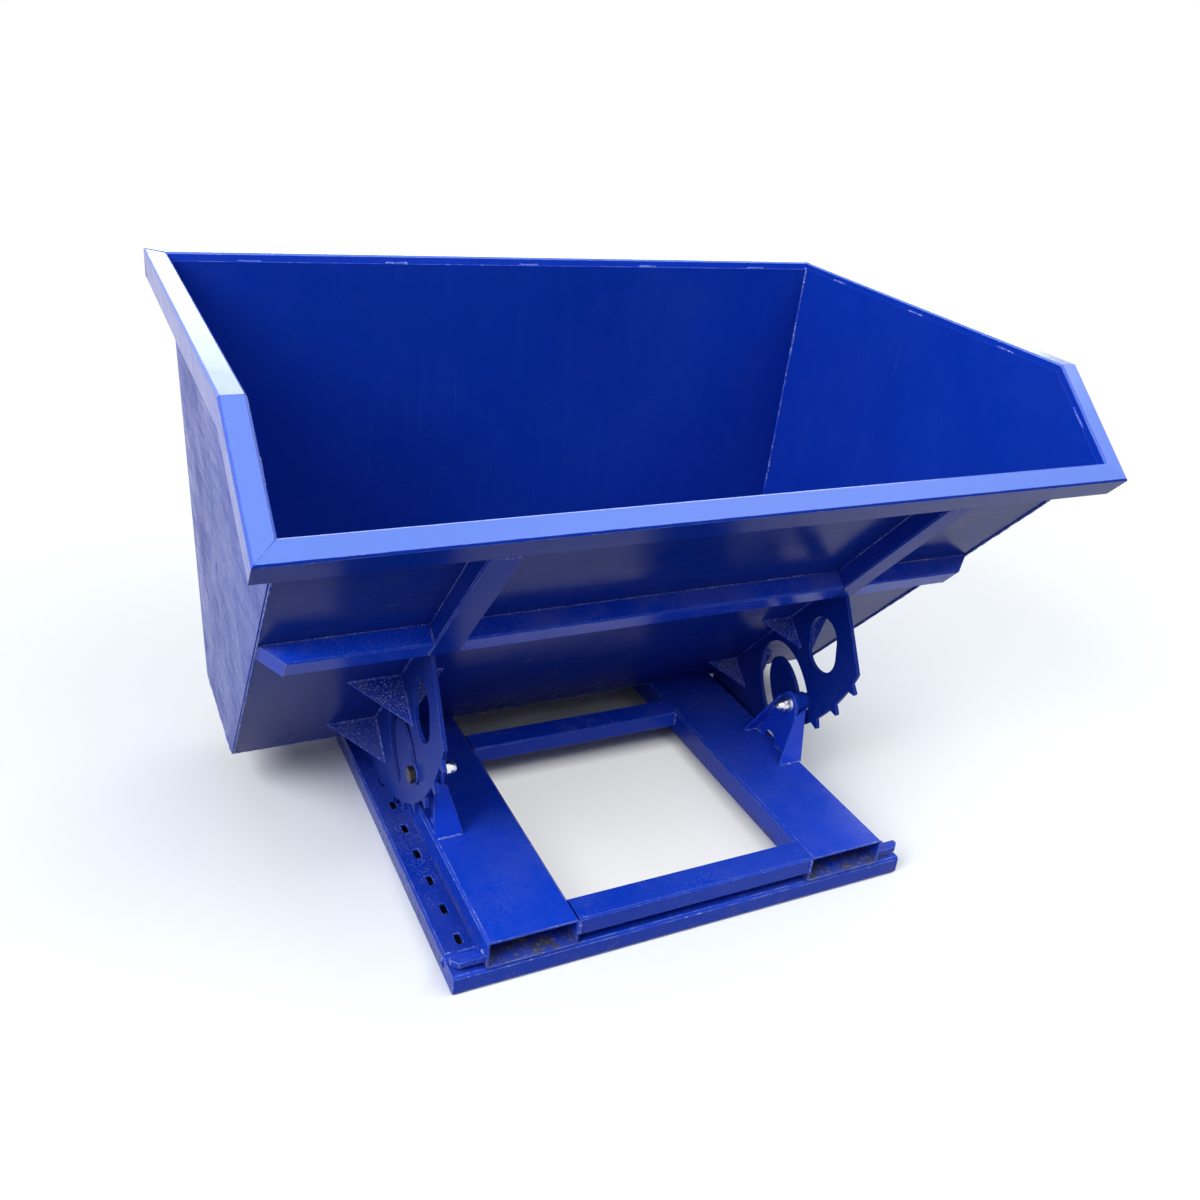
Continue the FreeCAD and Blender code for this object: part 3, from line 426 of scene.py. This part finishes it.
def weathered(finish):
    """Share of grey bloom on the outside of the shell, most on the side walls, in blots and level streaks."""
    bloom = finish.plus(finish.patches(BLOOM_BLOT), finish.patches(BLOOM_STREAK))
    sideways = finish.combined("ABSOLUTE", finish.axis(finish.facing, "X"), 0)
    return finish.times(bloom, BLOOM_SHARE, finish.span(sideways, BLOOM_SIDEWAYS), outer_side(finish))


def painted_sky_highlight(finish, colour, amount):
    """Paler paint where a face looks up, high on the hopper: a painted highlight in place of the sky's reflection
    on the rim tops.
    """
    lip_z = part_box("rim_lip")[0].z
    high = finish.height(Ramp(lip_z - PAINTED_HIGHLIGHT_FADE, lip_z))
    return finish.mixed(finish.times(finish.upward(PAINTED_HIGHLIGHT_UPWARD), high, amount), colour, BLUE_PAINTED_HIGHLIGHT)


def pocket_dirt(finish):
    """Mud that the forks bring into the mouths of the pockets, thickest on their floors."""
    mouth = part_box("fork_pocket_left")[0].y
    near, far, most, least = POCKET_MUD_RUN
    run = finish.span(finish.axis(finish.place, "Y"), Ramp(mouth + near, mouth + far, most, least))
    return finish.times(run, finish.height(POCKET_MUD_HEIGHT), finish.patches(POCKET_CLOD))


def rail_dirt(finish):
    """Dried mud low on the rails and round their rack holes."""
    return finish.times(finish.height(RAIL_MUD_HEIGHT), finish.patches(RAIL_CLOD))


def hopper_dirt(finish):
    """A little dust and grit that gathers low in the hopper."""
    return finish.times(finish.height(HOPPER_DUST_HEIGHT), finish.patches(HOPPER_CLOD))


def paint(name, gloss, swell, dust, scratches, grit, painted_light_tone=1.0, shine=0.2, painted_highlight=0.0, dirt=None, bloom=None):
    """Sprayed blue enamel: gloss is its roughness, swell how far the steel under it is out of flat. The tone makes
    the blue lighter or darker as painted light and shade, and the highlight share paints paler tops high on the
    hopper.
    """
    finish = Finish(name)
    # tone: painted light and shade, a lighter or darker copy of the blue
    colour = finish.mixed(finish.patches(SHADE), toned(BLUE_DEEP, painted_light_tone), toned(BLUE, painted_light_tone))
    colour = finish.mixed(finish.patches(PALE_RUN), colour, BLUE_PALE)
    # painted highlight on up-facing tops high on the hopper
    colour = painted_sky_highlight(finish, colour, painted_highlight)
    colour = scratched(finish, colour, scratches)
    colour = gritty(finish, colour, grit)
    film = filmed(finish, dust)
    colour = finish.mixed(film, colour, DUST)
    sheen = SHEEN.ramp._replace(start=gloss, end=gloss + SHEEN_SPREAD)
    rough = finish.span(finish.cloud(SHEEN), sheen)
    rough = finish.plus(rough, finish.times(film, DUST_DULLING))
    if bloom:
        chalk = bloom(finish)
        colour = finish.mixed(finish.times(chalk, CHALK_SHARE), colour, CHALK)
        rough = finish.plus(rough, finish.times(chalk, CHALK_DULLING))
    if dirt:
        grime = dirt(finish)
        soil = finish.mixed(finish.patches(SOIL), DIRT, DIRT_PALE)
        colour = finish.mixed(grime, colour, soil)
        rough = finish.plus(rough, finish.times(grime, DIRT_DULLING))
    waves = finish.bumped(finish.cloud(SWELL), swell)
    peel = finish.bumped(finish.cloud(PEEL), PEEL_DEPTH, PEEL_STRENGTH, waves)
    return finish.surface(Base_Color=colour, Roughness=rough, Normal=peel, Specular_IOR_Level=shine)


def edge_paint():
    """Enamel rubbed thin along the edges, down to pale primer in places."""
    finish = Finish("edge_paint")
    colour = finish.mixed(finish.patches(EDGE_RUB), BLUE, CHIP)
    colour = finish.mixed(finish.patches(EDGE_BARE), colour, GRIT)
    rough = finish.patches(EDGE_SHEEN)
    return finish.surface(Base_Color=colour, Roughness=rough, Specular_IOR_Level=EDGE_SHINE)


def weld_paint():
    """Enamel over the rippled weld metal, chipped and spattered in places."""
    finish = Finish("weld_paint")
    lumps = finish.cloud(WELD_LUMP)
    colour = finish.mixed(finish.span(lumps, WELD_LUMP.ramp), BLUE_DEEP, BLUE)
    colour = finish.mixed(finish.patches(WELD_CHIP), colour, CHIP)
    spatter = finish.times(finish.patches(SPATTER), finish.patches(SPATTER_PATCH))
    colour = finish.mixed(spatter, colour, GRIT)
    relief = finish.bumped(lumps, WELD_DEPTH)
    return finish.surface(Base_Color=colour, Roughness=finish.span(lumps, WELD_SHEEN), Normal=relief)


def two_toned(name, colours, blot, sheen, relief, depth, **sockets):
    """A finish that goes between two colours and two kinds of sheen, with a fine relief."""
    finish = Finish(name)
    blots = finish.cloud(blot)
    colour = finish.mixed(finish.span(blots, blot.ramp), *colours)
    rough = finish.span(blots, sheen)
    normal = finish.bumped(finish.cloud(relief), depth)
    return finish.surface(Base_Color=colour, Roughness=rough, Normal=normal, **sockets)


def black_steel():
    """Blackened bolt with rubbed, slightly oily faces."""
    return two_toned("black_bolt", BOLT_COLOURS, BOLT_BLOT, BOLT_SHEEN, BOLT_RELIEF, BOLT_DEPTH,
                     Specular_IOR_Level=BOLT_SHINE)


def zinc_plate():
    """Bright zinc plating with a cloudy bloom."""
    return two_toned("zinc", ZINC_COLOURS, ZINC_BLOOM, ZINC_SHEEN, ZINC_RELIEF, ZINC_DEPTH, Metallic=1.0)


def grip_rubber():
    """Black moulded rubber with a dusty bloom."""
    return two_toned("grip", RUBBER_COLOURS, RUBBER_BLOOM, RUBBER_SHEEN, RUBBER_RELIEF, RUBBER_DEPTH)


# Coats of enamel, each with its shares of wear; their tones make lighter and darker copies of one blue, which
# paint in light and shade piece by piece
COATS = {
    "shell_paint": dict(gloss=0.13, swell=SHEET_SWELL, dust=0.06, scratches=0.1, grit=0.08, painted_light_tone=0.65,
                        shine=0.04, dirt=hopper_dirt, bloom=weathered),
    "side_paint": dict(gloss=0.13, swell=SHEET_SWELL, dust=0.06, scratches=0.16, grit=0.08, painted_light_tone=0.91,
                       shine=0.025, dirt=hopper_dirt, bloom=weathered),
    "rim_paint": dict(gloss=0.13, swell=TUBE_SWELL, dust=0.05, scratches=0.3, grit=0.08, painted_highlight=0.95),
    "lip_paint": dict(gloss=0.13, swell=TUBE_SWELL, dust=0.05, scratches=0.3, grit=0.08, painted_light_tone=0.75,
                      shine=0.05, painted_highlight=0.95),
    "beam_paint": dict(gloss=0.15, swell=TUBE_SWELL, dust=0.5, scratches=0.4, grit=0.3, painted_light_tone=1.4, shine=0.06),
    "rib_paint": dict(gloss=0.15, swell=TUBE_SWELL, dust=0.2, scratches=0.4, grit=0.2, painted_light_tone=0.85, shine=0.03),
    "rocker_paint": dict(gloss=0.28, swell=PLATE_SWELL, dust=0.35, scratches=0.4, grit=0.35, painted_light_tone=0.65,
                         shine=0.06),
    "gusset_paint": dict(gloss=0.28, swell=PLATE_SWELL, dust=0.6, scratches=0.4, grit=1.55, shine=0.06),
    "frame_paint": dict(gloss=0.17, swell=TUBE_SWELL, dust=0.09, scratches=0.6, grit=0.36, painted_light_tone=0.97,
                        shine=0.14, dirt=rail_dirt),
    "rail_paint": dict(gloss=0.17, swell=TUBE_SWELL, dust=0.12, scratches=0.6, grit=0.45, painted_light_tone=0.73,
                       dirt=rail_dirt),
    "pocket_paint": dict(gloss=0.17, swell=TUBE_SWELL, dust=0.12, scratches=0.6, grit=0.14, painted_light_tone=1.1,
                         dirt=pocket_dirt),
    "bracket_paint": dict(gloss=0.17, swell=PLATE_SWELL, dust=0.2, scratches=0.3, grit=0.2, painted_light_tone=1.45),
}
FINISHES = {name: paint(name, **coat) for name, coat in COATS.items()}
FINISHES["edge_paint"] = edge_paint()
FINISHES["weld_paint"] = weld_paint()
FINISHES["black_bolt"] = black_steel()
FINISHES["zinc"] = zinc_plate()
FINISHES["grip"] = grip_rubber()

# Pieces whose coat isn't the one of their material slot, by how their names begin; most of these coats differ
# mainly in a tone of painted light or shade
SPECIAL_COATS = {
    "fork_pocket": "pocket_paint",
    "side_wall": "side_paint",
    "wall_plugs": "side_paint",
    "rim_lip": "lip_paint",
    "base_rail": "rail_paint",
    "beam": "beam_paint",
    "front_rib": "rib_paint",
    "rocker_gussets": "gusset_paint",
    "pin_bracket": "bracket_paint",
    "bracket_ribs": "bracket_paint",
    # painted light: the middle cross tube, in the hopper's shadow, takes the brackets' lighter tone
    "middle_cross_tube": "bracket_paint",
}


def edge_round(name):
    """How far the edges of a piece are rounded."""
    if name == "wall_plugs":
        return PLUG_EDGE_ROUND
    return SHEET_EDGE_ROUND if SLOTS[name] == "shell_paint" else EDGE_ROUND


def coat_of(name):
    """The name of the finish that a piece has."""
    special = [coat for start, coat in SPECIAL_COATS.items() if name.startswith(start)]
    return special[0] if special else SLOTS[name]


def dress(name):
    """Rounds the edges of a steel piece and gives it its finish, with another one on worn edges."""
    coat = coat_of(name)
    piece = NODES[name]
    piece.data.materials.clear()
    piece.data.materials.append(FINISHES[coat])
    for face in piece.data.polygons:
        face.use_smooth = True
        face.material_index = 0
    joined = piece.modifiers.new("joined", "WELD")
    joined.merge_threshold = SAME_POINT
    flat = piece.modifiers.new("flat", "DECIMATE")
    flat.decimate_type = "DISSOLVE"
    flat.angle_limit = FLAT_ANGLE
    bevel = piece.modifiers.new("edges", "BEVEL")
    bevel.limit_method = "ANGLE"
    bevel.angle_limit = SHARP_ANGLE
    bevel.width = edge_round(name)
    bevel.segments = EDGE_STEPS
    bevel.miter_outer = "MITER_ARC"
    if coat in COATS and coat != "side_paint":
        piece.data.materials.append(FINISHES["edge_paint"])
        bevel.material = 1
    normals = piece.modifiers.new("normals", "WEIGHTED_NORMAL")
    normals.mode = "FACE_AREA"


def clean_mesh(name):
    """A piece's mesh with its flat faces whole again."""
    mesh = bmesh.new()
    mesh.from_mesh(NODES[name].data)
    bmesh.ops.remove_doubles(mesh, verts=mesh.verts, dist=SAME_POINT)
    bmesh.ops.dissolve_limit(mesh, angle_limit=FLAT_ANGLE, verts=mesh.verts, edges=mesh.edges)
    return mesh


def rocker_lane(side):
    """The strip from side to side that a rocker rolls along, where no weld stands up."""
    low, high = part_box("rocker" + side)
    return low.x - 2 * BEAD_RADIUS, high.x + 2 * BEAD_RADIUS


def seams(name, others, lane=(0, 0)):
    """Stretches of a piece's edges that lie on the pieces it is welded to, outside a lane."""
    mesh = clean_mesh(name)
    edges = [e for e in mesh.edges if len(e.link_faces) == 2 and e.calc_face_angle() > SHARP_ANGLE]
    lines = [(e.verts[0].co.copy(), e.verts[1].co.copy()) for e in edges]
    mesh.free()
    stretches = []
    for other in others:
        target = clean_mesh(other)
        tree = BVHTree.FromBMesh(target)
        for start, end in lines:
            stretches += touching(start, end, tree, lane)
        target.free()
    return stretches


def touching(start, end, tree, lane):
    """The parts of a line that lie on a surface, each with the way that the surface faces."""
    steps = max(SEAM_LEAST_STEPS, round((end - start).length / SEAM_STEP))
    places = [start.lerp(end, k / steps) for k in range(steps + 1)]
    runs = []
    run = []
    for place in places:
        out = tree.find_nearest(place, TOUCH)[1]
        if place.z < 2 * BEAD_RADIUS or lane[0] < place.x < lane[1] or out is None:
            runs.append(run)
            run = []
        else:
            run.append((place, out))
    runs.append(run)
    found = [(run[0][0], run[-1][0], run[len(run) // 2][1]) for run in runs if len(run) > 1]
    return [(start, end, out) for start, end, out in found if (end - start).length > LEAST_SEAM]


def stitches(start, end, out):
    """Short welds at even places along a stretch."""
    run = end - start
    count = max(1, round(run.length / STITCH_PITCH))
    middles = [start.lerp(end, (k + 0.5) / count) for k in range(count)]
    half = run.normalized() * (STITCH_LENGTH / 2)
    return [(middle - half, middle + half, out) for middle in middles]


def bead(mesh, start, end, out, radius):
    """Adds one rippled weld bead along a line, flattened where it meets the surface below it."""
    run = end - start
    steps = max(BEAD_LEAST_STEPS, round(run.length / BEAD_STEP))
    ahead = run.normalized()
    side = ahead.orthogonal().normalized()
    up = ahead.cross(side)
    turns = [math.tau * n / BEAD_SIDES for n in range(BEAD_SIDES)]
    rings = []
    for k in range(steps + 1):
        along = run.length * k / steps
        near_end = min(along, run.length - along)
        taper = math.sqrt(min(1.0, near_end / (2 * radius) + BEAD_END_SHARE))
        line = start + ahead * along
        lump = noise.noise(line * BEAD_LUMP_SCALE)
        ripple = math.sin(math.tau * along / BEAD_PITCH + BEAD_RIPPLE_DRIFT * lump)
        thick = radius * taper * (1 + BEAD_RIPPLE_SHARE * ripple + BEAD_LUMP_SHARE * lump)
        wander = noise.noise_vector(line * BEAD_LUMP_SCALE) * BEAD_WANDER
        spokes = [wander + (side * math.cos(t) + up * math.sin(t)) * thick for t in turns]
        lifts = [out * max(0.0, -BEAD_SINK - spoke.dot(out)) for spoke in spokes]
        rings.append([mesh.verts.new(line + spoke + lift) for spoke, lift in zip(spokes, lifts)])
    skin(mesh, rings)


def skin(mesh, rings):
    """Faces between rings of points, closed at both ends."""
    for low, high in zip(rings, rings[1:]):
        for n in range(len(low)):
            following = (n + 1) % len(low)
            mesh.faces.new((low[n], low[following], high[following], high[n]))
    mesh.faces.new(list(reversed(rings[0])))
    mesh.faces.new(rings[-1])


def make_piece(name, mesh, finish, body):
    """A new smooth piece on a body."""
    bmesh.ops.recalc_face_normals(mesh, faces=mesh.faces)
    data = bpy.data.meshes.new(name)
    mesh.to_mesh(data)
    mesh.free()
    for face in data.polygons:
        face.use_smooth = True
    data.materials.append(FINISHES[finish])
    piece = bpy.data.objects.new(name, data)
    bpy.context.scene.collection.objects.link(piece)
    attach(piece, body)
    return piece


def welds_of_base():
    """All welds of the standing frame."""
    lines = []
    for side in SIDES:
        pocket = "fork_pocket" + side
        lines += seams(pocket, ["base_rail" + side, "front_beam", "rear_beam"])
        lines += seams("base_rail" + side, ["front_beam", "rear_beam"], rocker_lane(side))
        lines += seams("pin_bracket" + side, [pocket, "bracket_ribs" + side])
        lines += seams("bracket_ribs" + side, [pocket])
        lines += seams("stop_bar" + side, [pocket])
        for tube in CROSS_TUBES:
            lines += seams(tube, [pocket])
    lines += seams("front_cross_tube", ["front_beam"])
    mesh = bmesh.new()
    for start, end, out in lines:
        bead(mesh, start, end, out, BEAD_RADIUS)
    return mesh


def welds_of_hopper():
    """All welds of the tipping shell, with short stitches where the sheets hang in the rim."""
    lines = []
    tops = seams("front_panel", ["rim_lip"]) + seams("back_panel", ["rim_back"])
    for side in SIDES:
        wall = "side_wall" + side
        rocker = "rocker" + side
        rib = "front_rib" + side
        lines += seams(rocker, ["front_panel"])
        lines += seams("rocker_gussets" + side, [rocker, "front_panel"])
        lines += seams(rib, ["front_panel", "rim_lip", "beam_middle"])
        lines += seams("beam" + side, ["front_panel", rib])
        for sheet in ("front_panel", "floor_panel", "back_panel"):
            lines += seams(sheet, [wall])
        tops += seams(wall, ["rim_top" + side, "rim_slope" + side])
    lines += seams("beam_middle", ["front_panel"])
    lines += seams("floor_panel", ["front_panel", "back_panel"])
    lines += seams("latch_catch", ["back_panel"])
    mesh = bmesh.new()
    for start, end, out in lines:
        bead(mesh, start, end, out, BEAD_RADIUS)
    for stretch in tops:
        for start, end, out in stitches(*stretch):
            bead(mesh, start, end, out, STITCH_RADIUS)
    return mesh


def dome_nut(side):
    """A dome nut: a chamfered hexagon under a round cap, in the place of the plain solid."""
    name = "pin_nut" + side
    low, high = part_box(name)
    middle = (low + high) / 2
    flats = (high.z - low.z) / 2
    length = high.x - low.x
    seat_x, way = (high.x, -1) if side == "_right" else (low.x, 1)
    mesh = bmesh.new()
    turns = [math.tau * n / NUT_ROUND_SIDES for n in range(NUT_ROUND_SIDES)]

    def hexagon(turn):
        """Reach of the hexagon from the nut's axis."""
        step = math.tau / NUT_HEX_SIDES
        return flats / math.cos((turn + step / 2) % step - step / 2)

    def ring(out, reach):
        """Points round the nut's axis at a distance from its seat."""
        spokes = [(reach(t), t + math.pi / 2) for t in turns]
        x = seat_x + way * out
        places = [(x, middle.y + r * math.cos(t), middle.z + r * math.sin(t)) for r, t in spokes]
        return [mesh.verts.new(place) for place in places]

    hex_length = length * (1 - NUT_CAP_SHARE)
    chamfer = flats * NUT_CHAMFER_SHARE
    neck = hex_length + flats * NUT_NECK_SHARE
    dome = flats * NUT_DOME_SHARE
    rings = [ring(0, lambda t: min(hexagon(t), flats * NUT_SEAT_SHARE))]
    rings += [ring(chamfer, hexagon), ring(hex_length - chamfer, hexagon)]
    rings += [ring(hex_length, lambda t: min(hexagon(t), flats))]
    for k in range(NUT_DOME_RINGS):
        rise = math.pi / 2 * k / NUT_DOME_RINGS
        out = neck + (length - neck) * math.sin(rise)
        rings.append(ring(out, lambda t: dome * math.cos(rise) ** NUT_CAP_BLUNT))
    skin(mesh, rings)
    piece = make_piece("dome_nut" + side, mesh, "zinc", "base")
    piece.data.set_sharp_from_angle(angle=SHARP_ANGLE)
    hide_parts(name)


def ribbed_grip():
    """The latch's moulded grip, with rounded ribs and a round end."""
    solid = clean_mesh("latch_grip")
    places = [v.co.copy() for v in solid.verts]
    solid.free()
    pivot = Vector(JOINT_PLACES["latch_swing"])
    far = max((p - pivot).length for p in places)
    ends = [p for p in places if abs((p - pivot).length - far) < EDGE_ROUND]
    tip = sum(ends, Vector()) / len(ends)
    out = (tip - pivot).normalized()
    reaches = [(p - pivot).dot(out) for p in places]
    start = pivot + out * min(reaches)
    length = max(reaches) - min(reaches)
    radius = max(((p - pivot) - out * (p - pivot).dot(out)).length for p in places)
    side = out.orthogonal().normalized()
    up = out.cross(side)
    turns = [math.tau * n / GRIP_SIDES for n in range(GRIP_SIDES)]
    mesh = bmesh.new()
    steps = GRIP_RIBS * GRIP_RIB_STEPS
    rings = []
    for k in range(steps + 1):
        share = k / steps
        wave = (1 - math.cos(math.tau * k / GRIP_RIB_STEPS)) / 2
        closing = min(1.0, (1 - share) * GRIP_RIBS / GRIP_END_RIBS + GRIP_END_OPEN)
        reach = (radius - GRIP_RIB_DEPTH * (1 - wave)) * math.sqrt(1 - (1 - closing) ** 2 * GRIP_END_ROUND)
        place = start + out * (length * share)
        rings.append([mesh.verts.new(place + (side * math.cos(t) + up * math.sin(t)) * reach) for t in turns])
    skin(mesh, rings)
    piece = make_piece("ribbed_grip", mesh, "grip", "latch")
    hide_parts("latch_grip")


def light_path_share(tree):
    """1 for rays from the camera, a mirror or glass; 0 for light that bounces between things."""
    path = tree.nodes.new("ShaderNodeLightPath")
    share = path.outputs["Is Camera Ray"]
    for name in ("Is Glossy Ray", "Is Transmission Ray"):
        larger = tree.nodes.new("ShaderNodeMath")
        larger.operation = "MAXIMUM"
        tree.links.new(share, larger.inputs[0])
        tree.links.new(path.outputs[name], larger.inputs[1])
        share = larger.outputs["Value"]
    return share


def glow_share(finish):
    """Share of the floor's own white: full in the front opening of the base, none past its edges."""
    low = (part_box("fork_pocket_left")[1].x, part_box("front_cross_tube")[1].y)
    high = (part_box("fork_pocket_right")[0].x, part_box("middle_cross_tube")[0].y)
    share = light_path_share(finish.tree)
    for letter, start, end in zip("XY", low, high):
        place = finish.axis(finish.place, letter)
        after_start = finish.span(place, Ramp(start - FLOOR_GLOW_EDGE, start))
        before_end = finish.span(place, Ramp(end + FLOOR_GLOW_EDGE, end))
        share = finish.times(share, after_start, before_end)
    return finish.times(share, FLOOR_GLOW_SHARE)


def floor_finish():
    """White for the camera and for reflections, grey for the light that it throws back, and clear far out."""
    finish = Finish("floor")
    colour = finish.mixed(light_path_share(finish.tree), FLOOR_BOUNCE, FLOOR_WHITE)
    finish.surface(Base_Color=colour, Roughness=FLOOR_ROUGHNESS, Specular_IOR_Level=0.0)
    glow = finish.add("ShaderNodeEmission").outputs["Emission"]
    lit = finish.blended(glow_share(finish), finish.shader.outputs["BSDF"], glow)
    away = finish.add("ShaderNodeVectorMath", operation="LENGTH")
    finish.link(finish.place, away.inputs[0])
    fade = finish.span(away.outputs["Value"], Ramp(*[FLOOR_REACH * share for share in FLOOR_CLEAR_SHARES]))
    fade.node.interpolation_type = "SMOOTHSTEP"
    clear = finish.add("ShaderNodeBsdfTransparent").outputs["BSDF"]
    whole = finish.blended(fade, lit, clear)
    finish.link(whole, finish.tree.nodes["Material Output"].inputs["Surface"])
    return finish.material


def make_floor():
    """Pale floor that fades into the white surroundings and keeps the shadow."""
    mesh = bmesh.new()
    bmesh.ops.create_circle(mesh, cap_ends=True, segments=FLOOR_SIDES, radius=FLOOR_REACH)
    data = bpy.data.meshes.new("floor")
    mesh.to_mesh(data)
    mesh.free()
    data.materials.append(floor_finish())
    floor = bpy.data.objects.new("floor", data)
    bpy.context.scene.collection.objects.link(floor)


def make_sky():
    """White surroundings for the camera and for reflections, and a soft fill for everything else."""
    world = bpy.data.worlds.new("surroundings")
    bpy.context.scene.world = world
    world.use_nodes = True
    tree = world.node_tree
    fill = tree.nodes["Background"]
    fill.inputs["Color"].default_value = SKY_FILL
    fill.inputs["Strength"].default_value = SKY_FILL_STRENGTH
    white = tree.nodes.new("ShaderNodeBackground")
    white.inputs["Color"].default_value = SKY_WHITE
    blend = tree.nodes.new("ShaderNodeMixShader")
    tree.links.new(light_path_share(tree), blend.inputs["Fac"])
    tree.links.new(fill.outputs["Background"], blend.inputs[1])
    tree.links.new(white.outputs["Background"], blend.inputs[2])
    tree.links.new(blend.outputs["Shader"], tree.nodes["World Output"].inputs["Surface"])


def make_lamp(name, lamp):
    """One lamp of the overcast sky, which the camera doesn't see."""
    data = bpy.data.lights.new(name, "AREA")
    data.shape = "RECTANGLE"
    data.size = lamp.width
    data.size_y = lamp.height
    data.color = SKY_LIGHT
    data.energy = lamp.brightness * math.pi * lamp.width * lamp.height
    fitting = bpy.data.objects.new(name, data)
    bpy.context.scene.collection.objects.link(fitting)
    fitting.location = lamp.place
    fitting.rotation_euler = (Vector(lamp.aim) - Vector(lamp.place)).to_track_quat("-Z", "Y").to_euler()
    fitting.visible_camera = False


def make_camera():
    """The photograph's camera."""
    data = bpy.data.cameras.new("camera")
    data.lens = CAMERA_LENS
    data.sensor_width = CAMERA_SENSOR
    camera = bpy.data.objects.new("camera", data)
    bpy.context.scene.collection.objects.link(camera)
    camera.location = CAMERA_PLACE + Vector((0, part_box("front_beam")[0].y, 0))
    camera.rotation_euler = [math.radians(angle) for angle in CAMERA_TURN_DEG]
    bpy.context.scene.camera = camera


for node_name in SLOTS:
    dress(node_name)
noise.seed_set(BEAD_SEED)
make_piece("base_welds", welds_of_base(), "weld_paint", "base")
make_piece("hopper_welds", welds_of_hopper(), "weld_paint", "hopper")
for side_name in SIDES:
    dome_nut(side_name)
ribbed_grip()
make_floor()
make_sky()
for lamp_name, sky_lamp in LAMPS.items():
    make_lamp(lamp_name, sky_lamp)
make_camera()
bpy.context.scene.view_settings.view_transform = "Standard"

bpy.context.view_layer.update()
